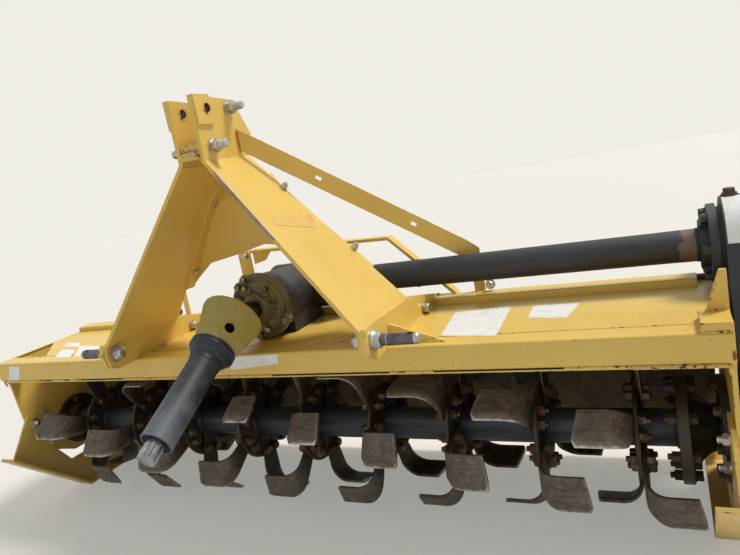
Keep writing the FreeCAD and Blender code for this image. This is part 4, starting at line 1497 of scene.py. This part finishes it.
    def gear_case(self) -> None:
        """Soften the gear case and make its cover plate with a raised panel and a ring of bolts."""
        self.shop.softened("gear_case", Finish.DARK, Body.FRAME, Slot.DRIVE_PAINT, Finish.DARK_WORN, 2.5)
        x0, x1 = self.shop.box("gear_case_cover")[:, 0]
        plates = [slab(self.stadium(78), 0, x0 - 0.5, x0 + 4), slab(self.stadium(58), 0, x0 + 3, x0 + 8)]
        groups, node = {Finish.DARK: plates}, "gear_case_cover"
        self.shop.piece(node + "_piece", groups, slot=Slot.DRIVE_PAINT, replaces=(node,), bevel=1.6)
        ring = self.stadium(68, 9)
        middles = (ring[8] + ring[9]) / 2, (ring[17] + ring[0]) / 2
        head = hex_body(Hex.M8, x1 - x0 - 4.4).turned(facing(RIGHT))
        heads = [head.shifted((x0 + 4, y, z)) for y, z in (*ring[::3], *middles)]
        self.shop.piece("gear_case_cover_bolts", {Finish.DARK_BOLT: heads}, Body.FRAME, Slot.DRIVE_PAINT)

    def stadium(self, radius: float, steps: int = 28) -> Array:
        """Outline round both shafts: half circles of one radius about each axis, joined by straight sides.

        Args:
            radius: Radius of the half circles.
            steps: Points on each.

        Returns:
            Array of (y, z) pairs.
        """
        top, low = np.array((self.drive_y, self.drive_z)), np.array((self.rotor_y, self.rotor_z))
        lean = math.degrees(math.atan2(*(top - low)[::-1]))
        halves = arc(top, radius, lean - 90, lean + 90, steps), arc(low, radius, lean + 90, lean + 270, steps)
        return np.concatenate(halves)

    def case_fittings(self) -> None:
        """Lay the blank sticker round the case's front, and fit the filler plug and a level plug."""
        x0 = self.shop.box("gear_case")[1][0] - 55
        angle = np.radians(np.linspace(97, 172, 26))[:, None]
        r = np.array((self.case_r - 0.3, self.case_r + 0.7, self.case_r + 0.7, self.case_r - 0.3))
        x = np.array((x0, x0, x0 + 46, x0 + 46))
        grid = np.stack([x + 0 * angle, self.drive_y + r * np.cos(angle), self.drive_z + r * np.sin(angle)], -1)
        self.shop.piece("blank_case_sticker", {Finish.LABEL: [grid_patch(grid)]}, Body.FRAME, Slot.DRIVE_PAINT)
        low, high = self.shop.box("filler_plug")
        at = ((low[0] + high[0]) / 2, self.drive_y, low[2])
        plug = [(0, 0), (13, 0), (13, 3.4), (11, 4), (0, 4)]
        patches = [turned_at(plug, at, UP, 32), hex_body(Hex.M12, high[2] - low[2] - 4, 4).shifted(at)]
        self.shop.piece("filler_plug_piece", {Finish.BROWN: patches}, Body.FRAME, Slot.PLATED_STEEL, ("filler_plug",))
        side = [threaded_end((x0 + 20, self.drive_y - 60, -120), FRONT, Hex.M10, 6, 2)]
        self.shop.piece("level_plug", {Finish.DARK_BOLT: side}, Body.FRAME, Slot.DRIVE_PAINT)

    def bracket(self) -> None:
        """Soften the bracket at the deck's right end and weld it down."""
        self.shop.softened("case_bracket", Finish.YELLOW, edge=Finish.YELLOW_WORN, bevel=2.0)
        (x0, y0, z0), (x1, y1, _) = self.shop.box("case_bracket")
        beads = [
            weld_bead((x0 - 0.5, y0 + 4, z0 + 0.5), (x0 - 0.5, y1 - 2, z0 + 0.5), 9),
            weld_bead((x0 + 2, y0 + 0.5, z0 + 1), (x1 - 4, y0 + 0.5, z0 + 1), 6),
            weld_bead((x1 - 30, y1 - 11, z0 + 17), (x1 - 2, y1 - 11, z0 + 17), 5),
        ]
        self.shop.piece("bracket_welds", {Finish.YELLOW_WORN: beads})

    def build(self) -> None:
        """Build the drive from the gearbox to the gear case."""
        self.gearbox()
        self.box_fittings()
        self.tube()
        self.gear_case()
        self.case_fittings()
        self.bracket()


@dataclass
class Driveline:
    """Yokes, cross and guarded half shaft, hanging from the joint."""

    shop: Workshop
    joint_y: float = 30.0
    joint_z: float = 46.0
    droop_deg: float = 28.0
    bell_back: float = 76.0
    collar_back: float = 108.0
    hole_back: float = 46.0
    hole_r: float = 12.0
    hole_deg: float = 33.0
    guard_r: float = 31.0
    guard_end: float = 300.0
    shaft_end: float = 335.0
    shaft_r: float = 18.0

    def hang(self, patch: Patch) -> Patch:
        """Move a body that stands along Z into the shaft's hanging place."""
        patch = patch.turned(facing(FRONT)).turned(about_x(self.droop_deg))
        return patch.shifted((0, self.joint_y, self.joint_z))

    def ring(self, profile: Sequence[tuple[float, float]], sides: int = 64) -> Patch:
        """Turn a closed profile of radius and distance from the joint round the shaft."""
        return self.hang(turned_body(profile, sides, True))

    def bell(self) -> None:
        """Soften the drilled bell and add its lip, crease and fixing screw."""
        self.shop.softened("guard_bell", Finish.BELL, Body.HALF_SHAFT, Slot.GUARD_PLASTIC, bevel=1.0)
        lip = [(62.7, -11.8), (65.4, -11.8), (65.6, -6.5), (64.7, -5.0), (62.5, -6.0)]
        crease = [(46.6, 57.0), (48.6, 56.5), (48.7, 59.0), (47.4, 61.0), (46.2, 61.0)]
        foot = [(42.0, 71.0), (45.6, 71.0), (45.4, 75.0), (43.6, 75.9), (41.0, 75.9)]
        a, lean = math.radians(48), about_x(self.droop_deg).T
        axis = np.array((math.cos(a), 0.0, math.sin(a))) @ lean
        at = np.array((45.0 * math.cos(a), -66.0, 45.0 * math.sin(a))) @ lean + (0, self.joint_y, self.joint_z)
        boss = turned_at([(0, -4), (6.5, -4), (6.5, 0.6), (5.6, 1.2), (0, 1.2)], at, axis, 24)
        screw = turned_at([(0, 0), (4.2, 0), (4.0, 2.4), (3.0, 3.1), (1.4, 3.1), (1.2, 2.0), (0, 2.0)], at, axis, 20)
        rings = [self.ring(lip), self.ring(crease), self.ring(foot), self.eyelet(), boss]
        groups = {Finish.BELL: rings, Finish.BRASS: [screw]}
        self.shop.piece("bell_rings_and_screw", groups, Body.HALF_SHAFT, Slot.GUARD_PLASTIC)

    def eyelet(self) -> Patch:
        """Raise a rim round the bell's hole: the point at t lies at y = 46 + 12 sin t along the cone.

        There the cone's radius is r(y) = 43.5 + 23 (76 - y) / 88, and the point is turned by 12 cos t / r
        from the middle of the hole.

        Returns:
            The rim.
        """
        t = np.linspace(0, 2 * math.pi, 48, endpoint=False)
        middle, lean = math.radians(self.hole_deg), about_x(self.droop_deg).T
        back = self.hole_back + self.hole_r * np.sin(t)
        r = 43.0 + 23.0 * (self.bell_back - back) / 88.0 + 0.5
        turn = middle + self.hole_r * np.cos(t) / r
        path = np.stack([r * np.cos(turn), -back, r * np.sin(turn)], -1) @ lean
        out = np.array((math.cos(middle), 0.0, math.sin(middle))) @ lean
        return sweep(round_profile(1.7, 10), path + (0, self.joint_y, self.joint_z), up=out, ring=True)

    def collar(self) -> None:
        """Turn the bearing collar with its two grooves."""
        s = self.bell_back
        back = [(20.3, s), (46.2, s), (47.6, s + 1.2), (47.6, s + 4)]
        groove = [(46.2, s + 5), (46.2, s + 6.6), (47.6, s + 7.6), (47.6, s + 10.8)]
        cone = [(46.4, s + 12), (44.8, s + 12.6), (41.2, s + 20), (39.6, s + 21), (39.4, s + 23.4)]
        end = [(34.4, s + 30), (33.4, s + 32), (20.3, s + 32)]
        groups = {Finish.COLLAR: [self.ring(back + groove + cone + end)]}
        self.shop.piece("guard_collar_piece", groups, Body.HALF_SHAFT, Slot.COLLAR_PLASTIC, ("guard_collar",), 28)

    def tube(self) -> None:
        """Turn the hollow guard tube: ribs r(s) = R - 0.1 + 0.1 sin(2 pi s / 4 mm), paler towards its end, which is
        rubbed wear and in part painted sheen.
        """
        r, start, end = self.guard_r, self.collar_back, self.guard_end
        s = np.linspace(start, end - 1.0, 180)
        outside = list(zip(r - 0.1 + 0.1 * np.sin(2 * math.pi * s / 4.0), s))
        profile = [(r - 3, start), *outside, (r - 0.8, end), (r - 2.6, end), (r - 3, end - 1)]
        body = self.ring(profile)
        height = np.array(profile)[:, 1]
        # How far the pale colour covers the tube: rubbed wear and in part painted sheen.
        body.wear = np.repeat(0.05 + 0.95 * np.clip((height - start - 40) / (end - start - 40), 0, 1), 64)
        cuff = [(r - 0.5, start), (r + 1.6, start), (r + 1.6, start + 9), (r - 0.5, start + 11)]
        groups = {Finish.TUBE: [body], Finish.COLLAR: [self.ring(cuff)]}
        self.shop.piece("guard_tube_piece", groups, Body.HALF_SHAFT, Slot.TUBE_PLASTIC, ("guard_tube",))

    def shaft(self) -> None:
        """Make the half shaft: round core and a splined end, r(a) = R - 1.9 where a sine of 8 a dips, else R."""
        end, out = self.guard_end, self.shaft_end
        a, b, core_r, stop_r = end - 20, end - 11, 17, 27.6
        profile = [(0, 96), (core_r, 96), (core_r, a), (stop_r, a), (stop_r, b), (core_r, b), (core_r, end), (0, end)]
        core = turned_body(profile, 40, False)
        angle = np.arange(96) * 2 * math.pi / 96
        r = self.shaft_r - 1.9 * np.clip(-2.2 * np.sin(8 * angle) - 0.4, 0, 1)
        scale = np.array((1, 1, 1, 0.97, 0.9, 0.22, 0.1))[:, None]
        level = np.array((end - 6, end, out - 3, out - 1, out, out, out - 3))[:, None]
        grid = np.stack([scale * r * np.cos(angle), scale * r * np.sin(angle), level + 0 * angle], -1)
        patches = [self.hang(core), self.hang(grid_patch(grid))]
        groups = {Finish.SHAFT: patches}
        self.shop.piece("half_shaft_piece", groups, Body.HALF_SHAFT, Slot.SHAFT_STEEL, ("half_shaft",), 30)

    def joint(self) -> None:
        """Soften the yokes and cross, and add the cross's grease nipple."""
        self.shop.softened("input_yoke", Finish.FORGED, Body.FRAME, Slot.SHAFT_STEEL, bevel=2.2)
        self.shop.softened("outer_yoke", Finish.FORGED, Body.HALF_SHAFT, Slot.SHAFT_STEEL, bevel=2.2)
        self.shop.softened("joint_cross", Finish.SHAFT, Body.CROSS, Slot.SHAFT_STEEL, bevel=1.2)
        nipple = [(0, 0), (3.4, 0), (3.4, 3), (1.8, 4), (2.4, 6.5), (1.6, 8), (0, 8)]
        at = (10.0, self.joint_y - 10.0, self.joint_z)
        groups = {Finish.ZINC: [turned_at(nipple, at, (1, -1, 0), 12)]}
        self.shop.piece("grease_nipple", groups, Body.CROSS, Slot.SHAFT_STEEL)

    def build(self) -> None:
        """Build the driveline from the joint to the bare end."""
        self.joint()
        self.bell()
        self.collar()
        self.tube()
        self.shaft()


@dataclass(frozen=True)
class TineForm:
    """Sizes of one bent tine in the frame of its flange, pointing to -Y and cutting downwards."""

    tip_radius: float = 190.0
    lead: float = 36.0
    reach: float = 101.0
    thick: float = 8.0
    wing: float = 72.0
    slope_deg: float = 23.4
    bend: float = 42.0
    slant: float = 10.0
    corner: float = 6.0
    flange_half: float = 4.0
    root: float = 36.0
    ground: float = 12.0

    def blade(self, side: int) -> Patch:
        """Bent blade: point (u, v) = x(u, v) X + n(u, v) out + w(u, v) across.

        x and n follow the mid-line u (straight, arc, straight) plus v's half thickness along its
        outward normal, and w runs from the leading curve w0(n) to the trailing curve w1(n).

        Args:
            side: 1 for a tine that bends to the right, -1 to the left.

        Returns:
            The patch, with its wear.
        """
        slope = math.radians(self.slope_deg)
        across = np.array((0, math.sin(slope), math.cos(slope)))
        out = np.array((0, -math.cos(slope), math.sin(slope)))
        tip = np.array((0, -math.sqrt(self.tip_radius**2 - self.lead**2), -self.lead))
        far, start = tip @ out, tip @ across
        half, turn = self.thick / 2, np.linspace(0, math.pi / 2, 15)
        mid_r, cx, cn = self.bend - half, self.flange_half + self.bend, far - self.bend
        shank, wing = np.linspace(self.root, cn, 10)[:-1], np.linspace(0, 1, 10)[1:]
        x = np.concatenate([np.full(9, self.flange_half + half), cx - mid_r * np.cos(turn), np.full(9, cx)])
        n = np.concatenate([shank, cn + mid_r * np.sin(turn), np.full(9, far - half)])
        u = np.concatenate([np.zeros(24), wing])[:, None]
        nx = np.concatenate([np.full(9, -1.0), -np.cos(turn), np.zeros(9)])[:, None]
        nn = np.concatenate([np.zeros(9), np.sin(turn), np.ones(9)])[:, None]
        front = np.polyfit((34.7, 95.9, far), (-36.8, -78.0, start), 2)
        w0 = np.polyval(front, n)[:, None]
        back = np.polyfit((50.6, 96.8, 143.0), (-0.1, -21.7, start + self.wing), 2)
        w1 = np.polyval(back, np.minimum(n, 143.0))[:, None]
        share = np.array((0, 0, 0, 0.35, 0.7, 1, 1, 1, 1, 0.7, 0.35, 0))[None]
        extra = np.array((0, 0, self.ground, 0, 0, -1.5, 0, 0, -1.5, 0, 0, self.ground * 0.7))[None]
        h = np.array((-1, -0.6, 1, 1, 1, 1, 0.6, -0.6, -1, -1, -1, -1))[None] * half
        w = w0 + share * (w1 - w0) + extra
        past = w - start
        cut = self.slant * np.clip((past - 14) / (self.wing - 14), 0, 1)
        end = self.reach - cut - self.corner * np.clip(1 - past / 14, 0, 1) ** 2
        grid = (side * (x[:, None] + (end - cx) * u + h * nx))[..., None] * np.array((1.0, 0, 0))
        grid = grid + (n[:, None] + h * nn)[..., None] * out + w[..., None] * across
        outer = np.clip((n[:, None] - 60) / 80, 0, 1)
        edge = np.exp(-np.abs(w - w0) / 9.0) * (0.35 + 0.65 * outer)
        face = outer * np.where(h > 0, 0.52, 0.3)
        wear = np.clip(np.maximum(np.maximum(edge, face), 0.9 * u**6) + 0.001, 0, 1)
        patch = grid_patch(grid)
        patch.wear = wear.reshape(-1)
        return patch


@dataclass
class TinedRotor:
    """Rotor tube, coupling, bearing housing and tine sets with their bolts."""

    shop: Workshop
    sets: int = 9
    arms: int = 6
    pitch: float = 182.0
    first_x: float = 754.0
    axis_y: float = 238.0
    axis_z: float = -281.0
    first_deg: float = -94.0
    step_deg: float = 14.0
    flange_r: float = 93.0
    flange_t: float = 8.0
    tube_r: float = 35.0
    bolt_ring_r: float = 76.0
    bolt_x: float = 12.0
    bolt_degs: tuple[float, float] = (-8.0, 14.0)
    form: TineForm = TineForm()

    def place(self, patches: Iterable[Patch], number: int) -> list[Patch]:
        """Turn patches of a set on along the helix and move them to its station.

        Args:
            patches: Patches about the axis X, with the flange's middle at the origin.
            number: Number of the set, from 1 at the gear case.

        Returns:
            The placed patches.
        """
        turn = about_x(-(self.first_deg + self.step_deg * (number - 1)))
        at = (self.first_x - (number - 1) * self.pitch, self.axis_y, self.axis_z)
        return [p.turned(turn).shifted(at) for p in patches]

    def tine_set(self, number: int) -> None:
        """Make one flange with its tines to the left and right in turn, and its bolts.

        Args:
            number: Number of the set, from 1 at the gear case.
        """
        blades, bolts = [], []
        for k in range(self.arms):
            side = -1 if k % 2 == 0 else 1
            turn = about_x(-60.0 * k)
            blades.append(self.form.blade(side).turned(turn))
            for degrees in self.bolt_degs:
                a = math.radians(degrees)
                at = (side * self.bolt_x, -math.cos(a) * self.bolt_ring_r, -math.sin(a) * self.bolt_ring_r)
                bolts.append(bolt(at, (side, 0, 0), Hex.M12, 2 * self.form.thick).turned(turn))
        t, r = self.flange_t / 2, self.flange_r
        rim = [(self.tube_r, -t), (r - 1, -t), (r, -t + 1), (r, t - 1), (r - 1, t), (self.tube_r, t)]
        collar = [(self.tube_r - 1, t - 1), (self.tube_r + 5, t - 1), (self.tube_r - 1, t + 6)]
        disc = [turned_at(rim, (0, 0, 0), RIGHT, 72, True), turned_at(collar, (0, 0, 0), RIGHT, 40, True)]
        parts = {Finish.TINE: blades, Finish.ROTOR: disc, Finish.BOLT: bolts}
        groups = {finish: self.place(patches, number) for finish, patches in parts.items()}
        node = f"tine_set_{number}"
        self.shop.piece(node + "_piece", groups, Body.ROTOR, Slot.TINE_STEEL, (node,), 38)

    def tube(self) -> None:
        """Make the rotor tube with its stub and one weld ring at its end towards the gear case."""
        low, high = self.shop.box("rotor_tube")
        at = (low[0], self.axis_y, self.axis_z)
        length, stub = high[0] - low[0], 50.0
        profile = [(0, 0), (23, 0), (24, 1), (24, stub), (self.tube_r - 1, stub), (self.tube_r, stub + 1),
                   (self.tube_r, length - 1), (self.tube_r - 1, length), (0, length)]
        ring = [(self.tube_r - 1, 0), (self.tube_r + 6, 0), (self.tube_r + 5, 4), (self.tube_r - 1, 7)]
        weld = turned_at(ring, (high[0], self.axis_y, self.axis_z), LEFT, 48, True)
        groups = {Finish.ROTOR_TUBE: [turned_at(profile, at, RIGHT, 64)], Finish.ROTOR: [weld]}
        self.shop.piece("rotor_tube_piece", groups, Body.ROTOR, Slot.ROTOR_PAINT, ("rotor_tube",))

    def ends(self) -> None:
        """Soften the coupling and both end flanges and bolt them together."""
        self.shop.softened("coupling_flange", Finish.ROTOR, Body.ROTOR, Slot.ROTOR_PAINT, bevel=2.0)
        for node in ("bearing_housing_left", "output_flange"):
            self.shop.softened(node, Finish.ROTOR, Body.FRAME, Slot.ROTOR_PAINT, bevel=2.0)
        y, z = self.axis_y, self.axis_z
        x0, x1 = self.shop.box("coupling_flange")[0][0], self.shop.box("output_flange")[0][0]
        turning = bolt_circle((x0 + 20, y, z), RIGHT, 88, range(10, 370, 45), Hex.M12, 20)
        rib = slab(np.array([(39.0, 0), (88, 0), (60, 22), (39, 40)]), 1, -4, 4).turned(facing(RIGHT))
        ribs = [rib.turned(about_x(degrees)).shifted((x0 + 20, y, z)) for degrees in range(30, 390, 60)]
        self.shop.piece("coupling_bolts", {Finish.ROTOR: turning + ribs}, Body.ROTOR, Slot.ROTOR_PAINT, bevel=0.8)
        fixed = bolt_circle((x1, y, z), LEFT, 84, range(0, 360, 45), Hex.M10)
        left = self.shop.box("bearing_housing_left")[0][0] + 12
        fixed += bolt_circle((left, y, z), RIGHT, 62, range(30, 390, 60), Hex.M10)
        self.shop.piece("end_flange_bolts", {Finish.BOLT: fixed}, Body.FRAME, Slot.ROTOR_PAINT)

    def build(self) -> None:
        """Build the whole rotor."""
        self.tube()
        for number in range(1, self.sets + 1):
            self.tine_set(number)
        self.ends()


@dataclass
class RearFlap:
    """Hinge rod and rear flap."""

    shop: Workshop

    def build(self) -> None:
        """Finish the flap and its rod."""
        # Its faces turned to the rotor carry painted shade and soil.
        self.shop.softened("rear_flap", Finish.YELLOW_SHADED_SOILED, Body.FLAP, Slot.FRAME_PAINT, Finish.YELLOW_WORN)
        self.shop.repaint("hinge_rod", Finish.ZINC)


@dataclass(frozen=True)
class Lamp:
    """One soft lamp aimed at the machine: an area lamp of a size in metres, or a sun whose size is its angle."""

    name: str
    at: tuple[float, float, float]
    size: float
    power: float
    tint: str
    sun: bool = False

    def light(self) -> None:
        """Add the lamp to the scene."""
        data = bpy.data.lights.new(self.name, "SUN" if self.sun else "AREA")
        if self.sun:
            data.angle = self.size
        else:
            data.shape = "DISK"
            data.size = self.size
        data.energy = self.power
        data.color = linear(self.tint)[:3]
        obj = bpy.data.objects.new(self.name, data)
        obj.location = self.at
        obj.rotation_euler = (Vector((0, 0, 0.45)) - Vector(self.at)).to_track_quat("-Z", "Y").to_euler()
        bpy.context.scene.collection.objects.link(obj)


@dataclass
class Studio:
    """Camera at the photograph's viewing angle, floor, lamps and world."""

    shop: Workshop
    eye: tuple[float, float, float] = (844, -951, 314)
    yaw: float = 0.471
    pitch: float = 0.183
    roll: float = -0.194
    focal_px: float = 611.5
    width_px: int = 740
    lamps: tuple[Lamp, ...] = (
        Lamp("key_lamp", (2.5, 2.0, 5.3), 0.3, 2.85, "FFFAF2", True),
        Lamp("fill_lamp", (-1.2, -3.6, 2.8), 2.6, 10, "EEF4FF"),
    )

    def aim(self) -> Matrix:
        """Work out the camera's turn from yaw, pitch down and roll.

        Returns:
            Its rotation with X right, Y up and Z back.
        """
        cos_p = math.cos(self.pitch)
        forward = Vector((-math.sin(self.yaw) * cos_p, math.cos(self.yaw) * cos_p, -math.sin(self.pitch)))
        right = forward.cross(Vector(UP)).normalized()
        up = right.cross(forward)
        c, s = math.cos(self.roll), math.sin(self.roll)
        return Matrix((c * right + s * up, -s * right + c * up, -forward)).transposed()

    def build(self) -> None:
        """Set up camera, floor, lamps and world."""
        scene = bpy.context.scene
        data = bpy.data.cameras.new("photo_camera")
        data.lens = self.focal_px / self.width_px * data.sensor_width
        data.clip_start, data.clip_end = 0.02, 60
        camera = bpy.data.objects.new("photo_camera", data)
        camera.matrix_world = self.aim().to_4x4()
        camera.location = Vector(np.array(self.eye) * MM + self.shop.datum)
        scene.collection.objects.link(camera)
        scene.camera = camera
        mesh = bpy.data.meshes.new("floor")
        mesh.from_pydata([(-14, -14, 0), (14, -14, 0), (14, 14, 0), (-14, 14, 0)], [], [(0, 1, 2, 3)])
        mesh.materials.append(self.shop.made[Finish.FLOOR])
        floor = bpy.data.objects.new("floor", mesh)
        scene.collection.objects.link(floor)
        floor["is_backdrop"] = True
        for lamp in self.lamps:
            lamp.light()
        scene.world = self.sky()
        scene.view_settings.view_transform = "Standard"

    @staticmethod
    def sky() -> bpy.types.World:
        """Make the world: a soft even sky for the light, and the floor's own pale tone for the background.

        Returns:
            The world.
        """
        world = bpy.data.worlds.new("soft_sky")
        world.use_nodes = True
        tree = world.node_tree
        light = tree.nodes["Background"]
        light.inputs["Color"].default_value = linear("F4F5F7")
        light.inputs["Strength"].default_value = 0.37
        seen = add_node(tree, "Background", {"Color": linear("EFEDE6"), "Strength": 1.0})
        mix = add_node(tree, "MixShader", None, {0: seen_ray(tree), 1: light.outputs[0], 2: seen.outputs[0]})
        tree.links.new(mix.outputs[0], tree.nodes["World Output"].inputs["Surface"])
        return world


def corners() -> list[list[float]]:
    """Return the object's lowest and highest corner as plain lists."""
    return [[float(c) for c in corner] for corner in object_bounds()]


def main() -> None:
    """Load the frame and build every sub-assembly."""
    logging.basicConfig(level=logging.INFO, format="%(name)s %(message)s")
    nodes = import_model()["nodes"]
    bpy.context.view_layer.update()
    shop = Workshop(nodes)
    for assembly in (HoodAndRails, ThreePointHitch, CrossDrive, Driveline, TinedRotor, RearFlap, Studio):
        assembly(shop).build()


if __name__ == "__main__":
    main()
